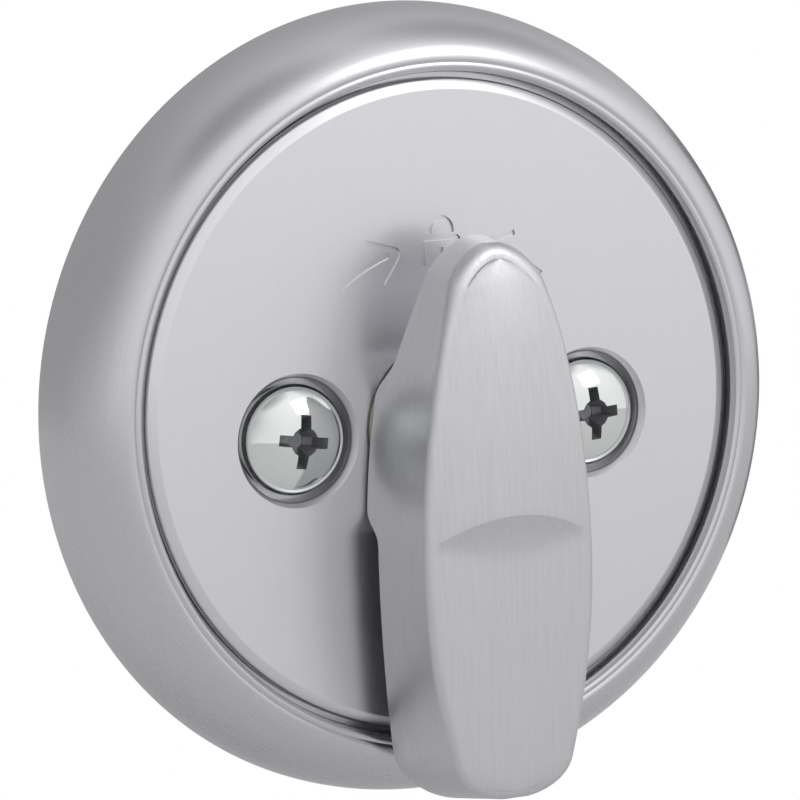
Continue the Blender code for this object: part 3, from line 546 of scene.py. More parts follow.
# %% [markdown]
# ## The camera, the floor and the light
# The camera has a long lens, as a catalogue picture does, so the round rose stays round. The lock hangs in the air as
# it would in a door, so the floor is well below it. In the main view the camera's far limit is just behind the rose:
# the cartridge, which would be inside the door, and the plate on its far side don't show past the rose's edge.

# %% A long lens, a little to the left and above
def aimed_camera(target, azimuth, elevation, roll, distance, lens, shift_x, shift_y, far):
    data = bpy.data.cameras.new("camera")
    data.lens, data.sensor_width = lens, 36.0
    data.shift_x, data.shift_y = shift_x, shift_y
    data.clip_start, data.clip_end = 0.05, far
    obj = bpy.data.objects.new("camera", data)
    bpy.context.scene.collection.objects.link(obj)
    a, e = math.radians(azimuth), math.radians(elevation)
    back = Vector((math.sin(a) * math.cos(e), -math.cos(a) * math.cos(e), math.sin(e)))
    right = (-back).cross(Vector((0, 0, 1))).normalized()
    up = right.cross(-back)
    turn = Matrix.Rotation(math.radians(roll), 3, back)
    right, up = turn @ right, turn @ up
    pose = Matrix((right, up, back)).transposed().to_4x4()
    pose.translation = target + back * distance
    obj.matrix_world = pose
    bpy.context.scene.camera = obj
    return obj


camera = aimed_camera(Vector((0, 0, ROSE_Z)), azimuth=-27.58, elevation=7.035, roll=-1.794, distance=400.4 * mm,
                      lens=212.57, shift_x=-0.00246, shift_y=-0.00402, far=417.2 * mm)
print("camera at", [round(1000 * c) for c in camera.matrix_world.translation], "mm")

# %% [markdown]
# The floor is a broad pale sheet with a faint mottle. The world is a plain studio: white behind the lock, and around
# it a soft sweep of light that's brightest to the front right and darker to the left and behind, with two dark flags
# overhead, which is what shapes chrome. Chrome has no shade of its own, so the light's layout is what the eye reads as
# its form.

# %% Floor, world and lamps
FLOOR_Z = -0.062


def pale_floor():
    shape = bmesh.new()
    bmesh.ops.create_grid(shape, x_segments=1, y_segments=1, size=0.6)
    mesh = bpy.data.meshes.new("floor")
    shape.to_mesh(mesh)
    shape.free()
    paper = bpy.data.materials.new("studio paper, matt")
    paper.use_nodes = True
    tree = paper.node_tree
    shader = tree.nodes["Principled BSDF"]
    shader.inputs["Roughness"].default_value = 0.9
    place_at = add(tree, "ShaderNodeTexCoord").outputs["Object"]
    speck = add(tree, "ShaderNodeTexNoise", Vector=place_at, Scale=1 / (12 * mm), Detail=3.0).outputs["Fac"]
    tint = add(tree, "ShaderNodeMix", {"data_type": "RGBA"}, Factor=speck)
    tint.inputs[6].default_value, tint.inputs[7].default_value = linear("#EFEFEF"), linear("#E8E8E8")
    tree.links.new(tint.outputs[2], shader.inputs["Base Color"])
    mesh.materials.append(paper)
    obj = bpy.data.objects.new("floor", mesh)
    bpy.context.scene.collection.objects.link(obj)
    obj.location = (0, 0, FLOOR_Z)
    obj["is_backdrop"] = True
    return obj


def studio_world():
    world = bpy.data.worlds.new("studio")
    bpy.context.scene.world = world
    world.use_nodes = True
    tree = world.node_tree
    tree.nodes.clear()
    way = add(tree, "ShaderNodeTexCoord").outputs["Generated"]

    def toward(x, y, z, low, high, dark, light):
        """A soft patch of light round a direction."""
        length = math.sqrt(x * x + y * y + z * z)
        facing = add(tree, "ShaderNodeVectorMath", {"operation": "DOT_PRODUCT"}, i0=way,
                     i1=(x / length, y / length, z / length)).outputs["Value"]
        return add(tree, "ShaderNodeMapRange", {"interpolation_type": "SMOOTHSTEP"}, Value=facing, From_Min=low,
                   From_Max=high, To_Min=dark, To_Max=light).outputs[0]

    overhead, lower_left = (0.2, -0.2, 1.0, 0.3, 1.0, 0.0, 0.18), (-0.9, -0.3, -0.5, 0.5, 1.0, 0.0, 0.22)
    dark_flags = (-0.23, -0.23, 0.93, 0.86, 1.0, 0.0, -0.42), (0.61, 0.07, 0.79, 0.88, 1.0, 0.0, -0.42)
    glow = toward(0.5, -0.85, 0.1, -0.6, 1.0, 0.46, 1.02)
    for patch in (overhead, lower_left, *dark_flags):
        glow = add(tree, "ShaderNodeMath", {"operation": "ADD"}, i0=glow, i1=toward(*patch)).outputs[0]
    shade = add(tree, "ShaderNodeBackground", Color=glow).outputs[0]
    plain = add(tree, "ShaderNodeBackground", Color=(1, 1, 1, 1)).outputs[0]
    seen = add(tree, "ShaderNodeLightPath").outputs["Is Camera Ray"]
    both = add(tree, "ShaderNodeMixShader", i0=seen, i1=shade, i2=plain).outputs[0]
    add(tree, "ShaderNodeOutputWorld", i0=both)
    return world


def soft_box(name, place_at, target, width, height, watts):
    data = bpy.data.lights.new(name, "AREA")
    data.shape, data.size, data.size_y, data.energy = "RECTANGLE", width, height, watts
    obj = bpy.data.objects.new(name, data)
    bpy.context.scene.collection.objects.link(obj)
    obj.location = place_at
    obj.rotation_euler = (Vector(target) - Vector(place_at)).to_track_quat("-Z", "Y").to_euler()
    return obj


pale_floor()
studio_world()
soft_box("key_soft_box", (0.25, -0.40, 0.35), target=(0, 0, 0), width=0.25, height=0.25, watts=0.35)
bpy.context.scene.view_settings.view_transform = "Standard"
print("stage set")

# %% [markdown]
# ## The inside rose
# The ring is a zinc die casting, turned and satin finished. From the door it swells to a rounded shoulder, has a soft
# shallow groove at its top, rolls over a narrow bead and drops to the gap round the face plate. The groove is what a
# round-nosed tool leaves, and it reads as one soft line.

# %% The ring
R, crest = ROSE_RADIUS, CREST_Y
crest_r = FACE_RADIUS + 1.45 * mm
ledge = FACE_Y + 1.5 * mm
angles = [math.radians(2 + 3.45 * i) for i in range(26)]
shoulder = [(crest_r + (R - crest_r) * max(math.cos(a), 0) ** 1.1, crest * math.sin(a) ** 1.1) for a in angles]
step_in = [(crest_r - 0.05 * mm, crest + 0.06 * mm), (crest_r - 0.16 * mm, crest + 0.11 * mm),
           (crest_r - 0.27 * mm, crest + 0.05 * mm)]
bead = [(FACE_RADIUS + 1.05 * mm, crest), (FACE_RADIUS + 0.9 * mm, crest + 0.02 * mm),
        (FACE_RADIUS + 0.76 * mm, crest + 0.1 * mm)]
fall = rounded([bead[-1], (FACE_RADIUS + 0.52 * mm, FACE_Y - 0.15 * mm), (FACE_RADIUS + 0.47 * mm, FACE_Y + 0.5 * mm),
                (FACE_RADIUS + 0.47 * mm, ledge)], 0.15 * mm)[1:]
under = [(24.5 * mm, ledge), (24.5 * mm, ledge + 1.2 * mm), (29.4 * mm, ledge + 1.2 * mm),
         (R - 2.1 * mm, ledge + 2 * mm),
         (R - 1.5 * mm, ledge + 3.6 * mm), (R - 1.5 * mm, 0)]
ring = [(R, 0)] + shoulder + step_in + bead + fall + rounded(under, 0.3 * mm)
place("rose_shell", turned(ring, SPUN_CHROME, (0, 0, ROSE_Z), 256, ring=True))

# %% [markdown]
# The face plate is pressed from sheet. Its edge has a narrow bevel, and each screw hole is drawn down into a cup so
# that only the crown of the screw's head stands above the plate. Its legend is stamped: a closed padlock at the top
# between two arrows, which stands for the word that such a plate carries. The strokes are 0.22 mm deep.

# %% The face plate
back = FACE_Y + 1.2 * mm
rim = rounded([(0, back), (FACE_RADIUS - 0.1 * mm, back), (FACE_RADIUS, back - 0.15 * mm),
               (FACE_RADIUS, FACE_Y + 0.55 * mm),
               (FACE_RADIUS - 0.14 * mm, FACE_Y + 0.38 * mm), (FACE_RADIUS - 0.85 * mm, FACE_Y + 0.03 * mm),
               (FACE_RADIUS - 1.0 * mm, FACE_Y), (0, FACE_Y)], 0.05 * mm, 2)
plate = turned(rim, LAPPED_CHROME, (0, 0, ROSE_Z), 192)
seat = FACE_Y + 2.7 * mm
cup = rounded([(0, FACE_Y + 0.6 * mm), (HEAD_RADIUS + 1.5 * mm, FACE_Y + 0.6 * mm),
               (HEAD_RADIUS + 1.5 * mm, seat + 1.2 * mm),
               (0, seat + 1.2 * mm)], 0.7 * mm)
sunk = [(0, FACE_Y - 1 * mm), (HEAD_RADIUS + 1.2 * mm, FACE_Y - 1 * mm)] + rounded(
    [(HEAD_RADIUS + 0.98 * mm, FACE_Y - 0.1 * mm), (HEAD_RADIUS + 0.85 * mm, FACE_Y + 0.1 * mm),
     (HEAD_RADIUS + 0.5 * mm, FACE_Y + 0.6 * mm), (HEAD_RADIUS + 0.5 * mm, seat)], 0.2 * mm) + [(0, seat)]
plate = carve(plate, [turned(cup, LAPPED_CHROME, (x, 0, 0), 72) for x in (-SCREW_X, SCREW_X)], "UNION")
cuts = [turned(sunk, LAPPED_CHROME, (x, 0, 0), 72) for x in (-SCREW_X, SCREW_X)]
cuts += [rod(2.9 * mm, seat - 1 * mm, seat + 3 * mm, (x, 0, 0), finish=LAPPED_CHROME) for x in (-SCREW_X, SCREW_X)]
hub_hole = [(0, FACE_Y - 1 * mm), (7.7 * mm, FACE_Y - 1 * mm), (7.5 * mm, FACE_Y), (7.3 * mm, FACE_Y + 0.2 * mm),
            (7.3 * mm, -4 * mm),
            (0, -4 * mm)]
cuts.append(turned(hub_hole, LAPPED_CHROME, sides=72))
plate = carve(plate, cuts)
print("face plate:", len(plate.polygons), "faces")


# %% The legend, cut into the face plate
LEGEND_RADIUS, STROKE_WIDTH, STROKE_DEPTH = 15.4, 0.45 * mm, 0.22 * mm


def legend():
    """The cutters of a closed padlock between two arrows, round the spindle's axis."""
    def at(radius, angle):
        return (radius * mm * math.sin(math.radians(angle)), radius * mm * math.cos(math.radians(angle)))

    body = rounded([(-1.7 * mm, 13.4 * mm), (1.7 * mm, 13.4 * mm), (1.7 * mm, 15.8 * mm), (-1.7 * mm, 15.8 * mm)],
                   0.4 * mm,
                   closed=True)
    shackle = [(-1.05 * mm, 16.2 * mm)] + arc((0, 16.4 * mm), 1.05 * mm, 180, 0, 12) + [(1.05 * mm, 16.2 * mm)]
    keyhole = [(0, 14.2 * mm), (0, 15.0 * mm)]
    tools = [stroke(path, STROKE_WIDTH, STROKE_DEPTH, FACE_Y, LAPPED_CHROME, closed)
             for path, closed in ((body, True), (shackle, False), (keyhole, False))]
    for side in (-1, 1):
        tail = [at(LEGEND_RADIUS, side * angle) for angle in range(38, 16, -2)]
        head = rounded([at(13.5, side * 24), at(LEGEND_RADIUS, side * 14), at(17.3, side * 24)], 0.8 * mm, 4)
        tools += [stroke(path, STROKE_WIDTH, STROKE_DEPTH, FACE_Y, LAPPED_CHROME) for path in (tail, head)]
    return tools


plate = carve(plate, legend())
place("face_plate", plate)

# %% [markdown]
# The screws are steel with bright chrome on oval heads. The cross is a taper: each wing narrows as it goes down, and
# the middle is a small cone, as the punch leaves it. The thread is the coil tree round a plain shank, 0.8 mm pitch.
# One head stopped a few degrees past level, as screws do.

# %% The mounting screws
def cross_recess(size, deep, top, wing, turn):
    """The cutters of a tapered cross in a head whose top is at this Y."""
    tools = []
    for quarter in (0, 90):
        blade = box((-size / 2, top - 1 * mm, -wing / 2), (size / 2, top + deep, wing / 2), taper=0.55)
        blade.transform(Matrix.Rotation(math.radians(turn + quarter), 4, "Y"))
        tools.append(blade)
    tools.append(turned([(0, top - 1 * mm), (0.28 * size, top - 1 * mm), (0.12 * size, top + deep * 1.05),
                         (0, top + deep * 1.1)],
                        BRIGHT_CHROME, sides=16))
    return tools


head_top, shank_end = span("mounting_screw_left", "Y")
DOME_RISE, HEAD_DEPTH, CROSS_REACH = 2.45 * mm, 3.7 * mm, 2.9 * mm
for side, x, turn in (("left", -SCREW_X, 8), ("right", SCREW_X, -3)):
    dome = arc((0, head_top + DOME_RISE), (HEAD_RADIUS, -DOME_RISE), 90, 8, 20)
    body = dome + [(HEAD_RADIUS, head_top + 2.5 * mm), (HEAD_RADIUS - 0.1 * mm, head_top + 2.8 * mm),
                   (HEAD_RADIUS - 0.3 * mm, head_top + HEAD_DEPTH), (2.4 * mm, head_top + HEAD_DEPTH),
                   (2.4 * mm, 16 * mm),
                   (2.1 * mm, 16.4 * mm), (2.1 * mm, shank_end - 0.8 * mm), (1.5 * mm, shank_end), (0, shank_end)]
    screw = turned(body, BRIGHT_CHROME, sides=72)
    screw = carve(screw, cross_recess(size=5.6 * mm, deep=1.9 * mm, top=head_top, wing=1.15 * mm, turn=turn))
    thread = coil(2.08 * mm, 17 * mm, shank_end - 1.3 * mm, 0.8 * mm, 0.31 * mm, 4, BRIGHT_CHROME)
    screw = gathered([screw, thread])
    screw.transform(Matrix.Translation((x, 0, 0)))
    made = place(f"mounting_screw_{side}", screw)
    # The faces inside the cross take the recess finish: its roughness is the metal's own, and its darker colour is
    # painted shade.
    made.data.materials.append(RECESS_CHROME_PAINTED_SHADE)
    for face in made.data.polygons:
        out = math.hypot(face.center.x - x, face.center.z)
        dome_y = head_top + DOME_RISE * (1 - math.sqrt(max(1 - (out / HEAD_RADIUS) ** 2, 0)))
        if out < CROSS_REACH and dome_y + 0.04 * mm < face.center.y < head_top + 2.4 * mm:
            face.material_index = 1

# %% [markdown]
# ## The thumb-turn
# The knob is cast. Seen from the front it's a long shape that is widest below its middle, round at both ends. Its
# front is crowned, and a thumb has a scoop below the crown: the crown stops at a curved ridge and drops by a
# millimetre. Its sides lean out towards the door, which is the draft that lets it leave its mould.
#
# The surface is laid out on a grid of rows across the knob and columns along it. The rows bend near the ridge so that
# one of them lies exactly on it and its edge can stay crisp.

# %% Outlines and heights of the knob
Z_LOW, Z_HIGH = span("thumbturn", "Z")
TOP, BOTTOM = Z_HIGH - 0.4 * mm, Z_LOW + 1.2 * mm
WIDEST_Z, HALF_WIDTH = -10.2 * mm, 7.85 * mm
ROWS, COLUMNS = 150, 40
RIDGE_Z, RIDGE_DROP, SCOOP = -6.1 * mm, 2.0 * mm, 3.8 * mm


def end_rounding(inside, length, power):
    """The share of its width that an outline keeps at this distance inside its end."""
    if inside >= length:
        return 1.0
    return max(1 - (1 - max(inside, 0) / length) ** power, 0) ** (1 / power)


def front_half_width(z):
    body = HALF_WIDTH - (6.5 if z > WIDEST_Z else 8.4) * (z - WIDEST_Z) ** 2
    return body * end_rounding(TOP - z, 3.6 * mm, 2.0) * end_rounding(z - BOTTOM, 3.0 * mm, 2.3)


def back_half_width(z):
    body = HALF_WIDTH + 0.2 * mm - (6.6 if z > WIDEST_Z else 3.0) * (z - WIDEST_Z) ** 2
    return body * end_rounding(Z_HIGH - z, 3.6 * mm, 2.0) * end_rounding(z - Z_LOW, 5.0 * mm, 2.0)


def front_height(z):
    """How far the front's edge stands off the door."""
    return 18.5 * mm - 1.0 * mm * (max(z + 8 * mm, 0) / (24.3 * mm)) ** 4


def back_height(z):
    """How far its back stands off the door, with the steps at the hub softened."""
    points = ((-32, 10.1), (-8.4, 10.1), (-6.8, 8.1), (3.6, 8.1), (5.9, 10.6), (12.5, 12.8), (18, 13.8))

    def sharp(z):
        for (low, start), (high, end) in zip(points, points[1:]):
            if z <= high:
                return start + (end - start) * (z - low) / (high - low)
        return points[-1][1]
    return sum(sharp(z / mm + 0.15 * k) for k in range(-4, 5)) / 9 * mm


def edge_radius(z):
    """The rounding of the front's edge, which is broader round the narrow end."""
    near_top = min(max((z - 8 * mm) / (8 * mm), 0), 1)
    return (0.75 + 0.65 * near_top * near_top * (3 - 2 * near_top)) * mm


def ridge_bend(z):
    """How far a row's middle rises at this height: all of the ridge's drop on the ridge, none 7 mm away."""
    near = max(1 - abs(z - RIDGE_Z + RIDGE_DROP) / (7 * mm), 0)
    return RIDGE_DROP * near * near * (3 - 2 * near)


def crown(s, z):
    """How far the front stands proud of its edge, s from -1 at the left edge to 1 at the right."""
    below = (RIDGE_Z - RIDGE_DROP * s * s - z) / (SCOOP * max(1 - s * s, 0.02))
    below = min(max(below, 0), 1)
    near_top = min(max((z - 8 * mm) / (8 * mm), 0), 1)
    share = ((0.91 * mm * (1 - below) ** 2 + 0.3 * mm) * front_half_width(z) / HALF_WIDTH
             * (1 - 0.7 * near_top * near_top))
    return share * (1 - s * s)


shares = [0.5 - 0.499 * math.cos(math.pi * i / ROWS) for i in range(ROWS + 1)]
ridge_share = (RIDGE_Z - RIDGE_DROP - BOTTOM) / (TOP - BOTTOM)
RIDGE_ROW = min(range(ROWS + 1), key=lambda i: abs(shares[i] - ridge_share))
shares[RIDGE_ROW] = ridge_share
print(f"knob {1000 * (Z_HIGH - Z_LOW):.1f} mm tall, {2000 * HALF_WIDTH:.1f} mm wide; "
      f"the ridge is row {RIDGE_ROW} of {ROWS}")


# %% The knob's surface
def boundary(half_width, low, high):
    """Points (x, z) anticlockwise round an outline, from its lower right corner, and the way out at each."""
    rows = [low + (high - low) * share for share in shares]
    across = [1 - 2 * c / COLUMNS for c in range(1, COLUMNS)]
    loop = [(half_width(z), z) for z in rows] + [(half_width(rows[-1]) * s, rows[-1]) for s in across]
    loop += [(-half_width(z), z) for z in reversed(rows)] + [(-half_width(rows[0]) * s, rows[0]) for s in across]
    ways = []
    for i in range(len(loop)):
        along = Vector(loop[(i + 1) % len(loop)]) - Vector(loop[i - 1])
        ways.append(Vector((along.y, -along.x)).normalized())
    return loop, ways


def rounding(loop, ways, radius, height, towards):
    """Rings of a quarter round that starts square to the outline and ends level with the face at this height."""
    rings = []
    for k in range(7):
        a = math.radians(15 * k)
        ring = []
        for (x, z), way in zip(loop, ways):
            reach = radius(z) if callable(radius) else radius
            px, pz = x - way.x * reach * (1 - math.cos(a)), z - way.y * reach * (1 - math.cos(a))
            ring.append((px, -(height(z) - towards * reach * (1 - math.sin(a))), pz))
        rings.append(ring)
    return rings


def knob_surface():
    front, front_ways = boundary(front_half_width, BOTTOM, TOP)
    back, back_ways = boundary(back_half_width, Z_LOW, Z_HIGH)
    front_rings = rounding(front, front_ways, edge_radius, front_height, 1)
    back_rings = rounding(back, back_ways, 0.35 * mm, back_height, -1)
    sides = [[tuple(Vector(b).lerp(Vector(f), k / 5)) for b, f in zip(back_rings[0], front_rings[0])] for k in range(1,
                                                                                                                     5)]
    rings = back_rings[::-1] + sides + front_rings
    shape = bmesh.new()
    made = [[shape.verts.new(point) for point in ring] for ring in rings]
    count = len(front)
    for low, high in zip(made, made[1:]):
        for i in range(count):
            shape.faces.new((low[i], low[(i + 1) % count], high[(i + 1) % count], high[i]))

    def on_edge(row, column):
        """The index of a grid corner in the boundary, or None inside it."""
        if column == COLUMNS:
            return row
        if row == ROWS:
            return ROWS + (COLUMNS - column)
        if column == 0:
            return ROWS + COLUMNS + (ROWS - row)
        if row == 0:
            return 2 * ROWS + COLUMNS + column
        return None

    def lid(edge, surface):
        grid = []
        for row in range(ROWS + 1):
            right, line = edge[row].co, []
            for column in range(COLUMNS + 1):
                at = on_edge(row, column)
                if at is None:
                    line.append(shape.verts.new(surface(2 * column / COLUMNS - 1, right.x, right.z)))
                else:
                    line.append(edge[at % count])
            grid.append(line)
        for low, high in zip(grid, grid[1:]):
            for a, b, c, d in zip(low, low[1:], high[1:], high):
                shape.faces.new((a, b, c, d))
        return grid

    def crowned(s, half, z_side):
        z = z_side + ridge_bend(z_side) * (1 - s * s)
        return (s * half, -front_height(z) - crown(s, z), z)

    grid = lid(made[-1], crowned)
    lid(made[0], lambda s, half, z: (s * half, -back_height(z), z))
    bmesh.ops.recalc_face_normals(shape, faces=shape.faces)
    mesh = bpy.data.meshes.new("knob")
    shape.to_mesh(mesh)
    shape.free()
    mesh.materials.append(BRUSHED_CHROME)
    return mesh


knob = knob_surface()
print("knob surface:", len(knob.polygons), "faces")

# %% [markdown]
# Behind the knob its shaft runs back through the rose. It's round where it turns in the bushing, flatted where the
# stop cam is keyed on, grooved for the retaining ring, and has a D-shaped socket for the blade.

# %% The shaft, and what is cut in it
def flatted_circle(radius, half_flat, steps=24):
    limit = math.degrees(math.asin(half_flat / radius))
    top = arc((0, 0), radius, 90 - limit, 90 + limit, steps)
    return top + [(-a, -b) for a, b in top]


def d_shape(radius, flat):
    corner = math.degrees(math.acos(flat / radius))
    return arc((0, 0), radius, corner, 360 - corner, 40)


shaft = turned([(0, -12 * mm), (5.5 * mm, -12 * mm), (5.5 * mm, 2.2 * mm), (5.4 * mm, 2.3 * mm), (0, 2.3 * mm)],
               BRUSHED_CHROME, sides=64)
keyed = stamped([flatted_circle(5.5 * mm, 4.3 * mm)], 0, 9 * mm, 0.2 * mm, BRUSHED_CHROME)
knob = carve(knob, [shaft, keyed], "UNION")
clip_groove = turned([(4.5 * mm, 4.5 * mm), (7 * mm, 4.5 * mm), (7 * mm, 5.8 * mm), (4.5 * mm, 5.8 * mm)],
                     BRUSHED_CHROME, sides=64, ring=True)
socket = stamped([d_shape(3.3 * mm, 1.8 * mm)], -3.5 * mm, 10 * mm, 0.05 * mm, BRUSHED_CHROME)
pin_hole = rod(1.15 * mm, -6 * mm, 6 * mm, (0, 7.4 * mm, 0), "X", BRUSHED_CHROME, 24)
knob = carve(knob, [clip_groove, socket, pin_hole])


# %% The crisp ridge of the thumb scoop
def mark_ridge(mesh):
    """Keeps the scoop's ridge sharp, and every edge whose faces meet at more than 32 degrees."""
    mesh.shade_smooth()
    mesh.set_sharp_from_angle(angle=math.radians(32))
    sharp = [edge.use_edge_sharp for edge in mesh.edges]
    marked = 0
    for i, edge in enumerate(mesh.edges):
        a, b = (mesh.vertices[v].co for v in edge.vertices)
        if max(a.y, b.y) > -17.5 * mm or abs(a.x) > 6.8 * mm:
            continue
        if all(abs(p.z - (RIDGE_Z - RIDGE_DROP * (p.x / 7.07 * 1000) ** 2)) < 0.06 * mm for p in (a, b)):
            sharp[i], marked = True, marked + 1
    layer = mesh.attributes.get("sharp_edge") or mesh.attributes.new("sharp_edge", "BOOLEAN", "EDGE")
    layer.data.foreach_set("value", sharp)
    print("edges kept crisp along the ridge:", marked)


mark_ridge(knob)
settle("thumbturn", knob)

# %% [markdown]
# ## Behind the face plate
# These pieces are hidden until the lock comes apart, but each is whole. The support plate takes the screws' pull, and
# a tab bent from it stops the cam at each end of its quarter turn. The bushing keeps steel off chrome, the waved
# washer keeps the knob from rattling, and a sprung ball drops into the cam's groove.

# %% Support plate, bushing and washer
front = span("support_plate", "Y")[0]
mid = ROSE_Z
outline = circle(0, mid, 31.3 * mm, 120)
holes = [circle(x, 0, 2.8 * mm, 32) for x in (-SCREW_X, SCREW_X)] + [circle(0, 0, 6.1 * mm, 48)]
plate = stamped([outline] + holes, -2.3 * mm, 0, 0.2 * mm, ZINC)
for x in (-SCREW_X, SCREW_X):
    boss = turned(rounded([(2.8 * mm, front), (4.9 * mm, front), (4.9 * mm, -1 * mm), (2.8 * mm, -1 * mm)], 0.3 * mm,
                          closed=True),
                  ZINC, (x, 0, 0), 48, ring=True)
    plate = carve(plate, [boss], "UNION")
tab = stamped([rounded([(-1.8 * mm, -12.5 * mm), (1.8 * mm, -12.5 * mm), (1.8 * mm, -9.6 * mm), (-1.8 * mm, -9.6 * mm)],
                       0.3 * mm,
                       closed=True)], -1.2 * mm, 4.4 * mm, 0.2 * mm, ZINC)
plate = carve(plate, [tab], "UNION")
plate = carve(plate, [rod(1.45 * mm, -1.8 * mm, 1 * mm, (0, 0, middle("detent_ball").z), finish=ZINC, sides=40)])
place("support_plate", plate)

back = -2.6 * mm
bushing = rounded([(5.8 * mm, -7.5 * mm), (7 * mm, -7.5 * mm), (7 * mm, back - 0.9 * mm), (8.4 * mm, back - 0.9 * mm),
                   (8.4 * mm, back), (5.8 * mm, back)], 0.25 * mm, closed=True)
place("hub_bushing", turned(bushing, NYLON, sides=72, ring=True))


def waved_ring(inner, outer, y, wave, waves, half, steps=144):
    """A thin ring whose height rises and falls round it, with rounded rims."""
    shape, rings = bmesh.new(), []
    section = rounded([(inner, -half), (outer, -half), (outer, half), (inner, half)], 0.8 * half, closed=True)
    for i in range(steps):
        angle = math.tau * i / steps
        lift = y + wave * math.sin(waves * angle)
        rings.append([shape.verts.new((r * math.cos(angle), lift + h, r * math.sin(angle))) for r, h in section])
    for ring, following in zip(rings, rings[1:] + rings[:1]):
        for k in range(len(section)):
            n = (k + 1) % len(section)
            shape.faces.new((ring[k], ring[n], following[n], following[k]))
    mesh = bpy.data.meshes.new("waved")
    shape.to_mesh(mesh)
    shape.free()
    mesh.materials.append(SPRING)
    return outward(mesh)


place("wave_washer", waved_ring(5.9 * mm, 7.0 * mm, middle("wave_washer").y, 0.84 * mm, 3, 0.15 * mm))

# %% Detent ball and spring, stop cam, retaining ring
at = middle("detent_ball")
ball = [(0, -1.2 * mm)] + arc((0, 0), 1.2 * mm, -85, 85, 17) + [(0, 1.2 * mm)]
place("detent_ball", turned(ball, BRIGHT_CHROME, at, 36))
low, high = span("detent_spring", "Y")
spring = coil(0.85 * mm, low + 0.16 * mm, high - 0.16 * mm, 0.42 * mm, 0.13 * mm, 10, SPRING)
spring.transform(Matrix.Translation((0, 0, at.z)))
place("detent_spring", spring)

notch_start, notch_end = 167, 283
outline = arc((0, 0), 11 * mm, notch_end, notch_start + 360, 72) + arc((0, 0), 9.2 * mm, notch_start, notch_end, 36)
cam_y = span("stop_cam", "Y")
keyed_hole = flatted_circle(5.8 * mm, 4.6 * mm)
cam = stamped([rounded(outline, 0.3 * mm, 2, closed=True), keyed_hole], cam_y[0], cam_y[1], 0.12 * mm, ZINC)
groove = arc((0, 0), at.z - 1.35 * mm, -8, 98, 36) + arc((0, 0), at.z + 1.35 * mm, 98, -8, 36)
cam = carve(cam, [stamped([groove], 1 * mm, cam_y[0] + 0.44 * mm, 0.05 * mm, ZINC)])
place("stop_cam", cam)

ring_y = span("retaining_ring", "Y")
outline = rounded(arc((0, 0), 7.36 * mm, -65, 245, 96) + arc((0, 0), 4.85 * mm, 245, -65, 72), 0.5 * mm, closed=True)
eyes = [circle(6.1 * mm * math.cos(math.radians(a)), 6.1 * mm * math.sin(math.radians(a)), 0.5 * mm, 20) for a in (-56,
                                                                                                                   236)]
place("retaining_ring", stamped([outline] + eyes, ring_y[0], ring_y[1], 0.08 * mm, SPRING))

# %% [markdown]
# ## From the knob to the bolt
# The D-shaped blade carries the turn through the door. A pin keeps it in the knob's shaft. In the door it turns the
# crank, whose fork pushes the drive pin along, and a flat link takes the pin's push to the bolt.

# %% Blade, pin and crank
blade_y = span("torque_blade", "Y")
blade = stamped([d_shape(3 * mm, 1.5 * mm)], blade_y[0], blade_y[1], 0.25 * mm, ZINC)
place("torque_blade", carve(blade, [rod(1.15 * mm, -6 * mm, 6 * mm, (0, 7.4 * mm, 0), "X", ZINC, 24)]))
at = middle("blade_pin")
place("blade_pin", rod(0.85 * mm, -4.2 * mm, 4.2 * mm, at, "X", SPRING, 32, 0.25 * mm))

hub_low, hub_high = (v - BOLT_Y for v in span("crank", "Y"))
half = 4.4 * mm
hub = rounded([(0, hub_low), (4.6 * mm, hub_low), (4.6 * mm, -half), (5.8 * mm, -half), (5.8 * mm, half),
               (4.6 * mm, half),
               (4.6 * mm, hub_high), (0, hub_high)], 0.25 * mm)
crank = turned(hub, ZINC, (0, BOLT_Y, 0), 72)
fork = [(4.4 * mm, 0), (4.4 * mm, 19 * mm), (2.45 * mm, 19 * mm)] + arc((0, 13.3 * mm), (2.45 * mm, -2.45 * mm), 0, 180,
                                                                        18)
fork += [(-2.45 * mm, 19 * mm), (-4.4 * mm, 19 * mm), (-4.4 * mm, 0)]
arm = stamped([rounded(fork, 0.6 * mm, closed=True)], BOLT_Y + 0.3 * mm, BOLT_Y + 2.7 * mm, 0.2 * mm, ZINC)
arm.transform(Matrix.Rotation(math.radians(45), 4, "Y"))
crank = carve(crank, [arm], "UNION")
place("crank",
      carve(crank, [stamped([d_shape(3.3 * mm, 1.8 * mm)], BOLT_Y - 8 * mm, BOLT_Y + 8 * mm, 0.05 * mm, ZINC)]))

# %% [markdown]
# The cage is two stamped plates held apart by shouldered rivets. The lower edge of each is turned in at both ends,
# away from the crank's hub. The rivets' heads are domed over, as a rivet set leaves them.

# %% The cage
def rounded_rectangle(width, height, corner, steps=8):
    half_width, half_height = width / 2 - corner, height / 2 - corner
    outline = []
    for sign_x, sign_y, start in ((1, 1, 0), (-1, 1, 90), (-1, -1, 180), (1, -1, 270)):
        outline += arc((sign_x * half_width, sign_y * half_height), corner, start, start + 90, steps)
    return outline


def tailed_rectangle(width, height, corner, tail):
    """A rounded rectangle whose upper rear corner is rounded much more than the others."""
    outline = []
    for sign_x, sign_y, start, radius in ((1, 1, 0, corner), (-1, 1, 90, tail), (-1, -1, 180, corner),
                                          (1, -1, 270, corner)):
        outline += arc((sign_x * (width / 2 - radius), sign_y * (height / 2 - radius)), radius, start, start + 90, 10)
    return outline


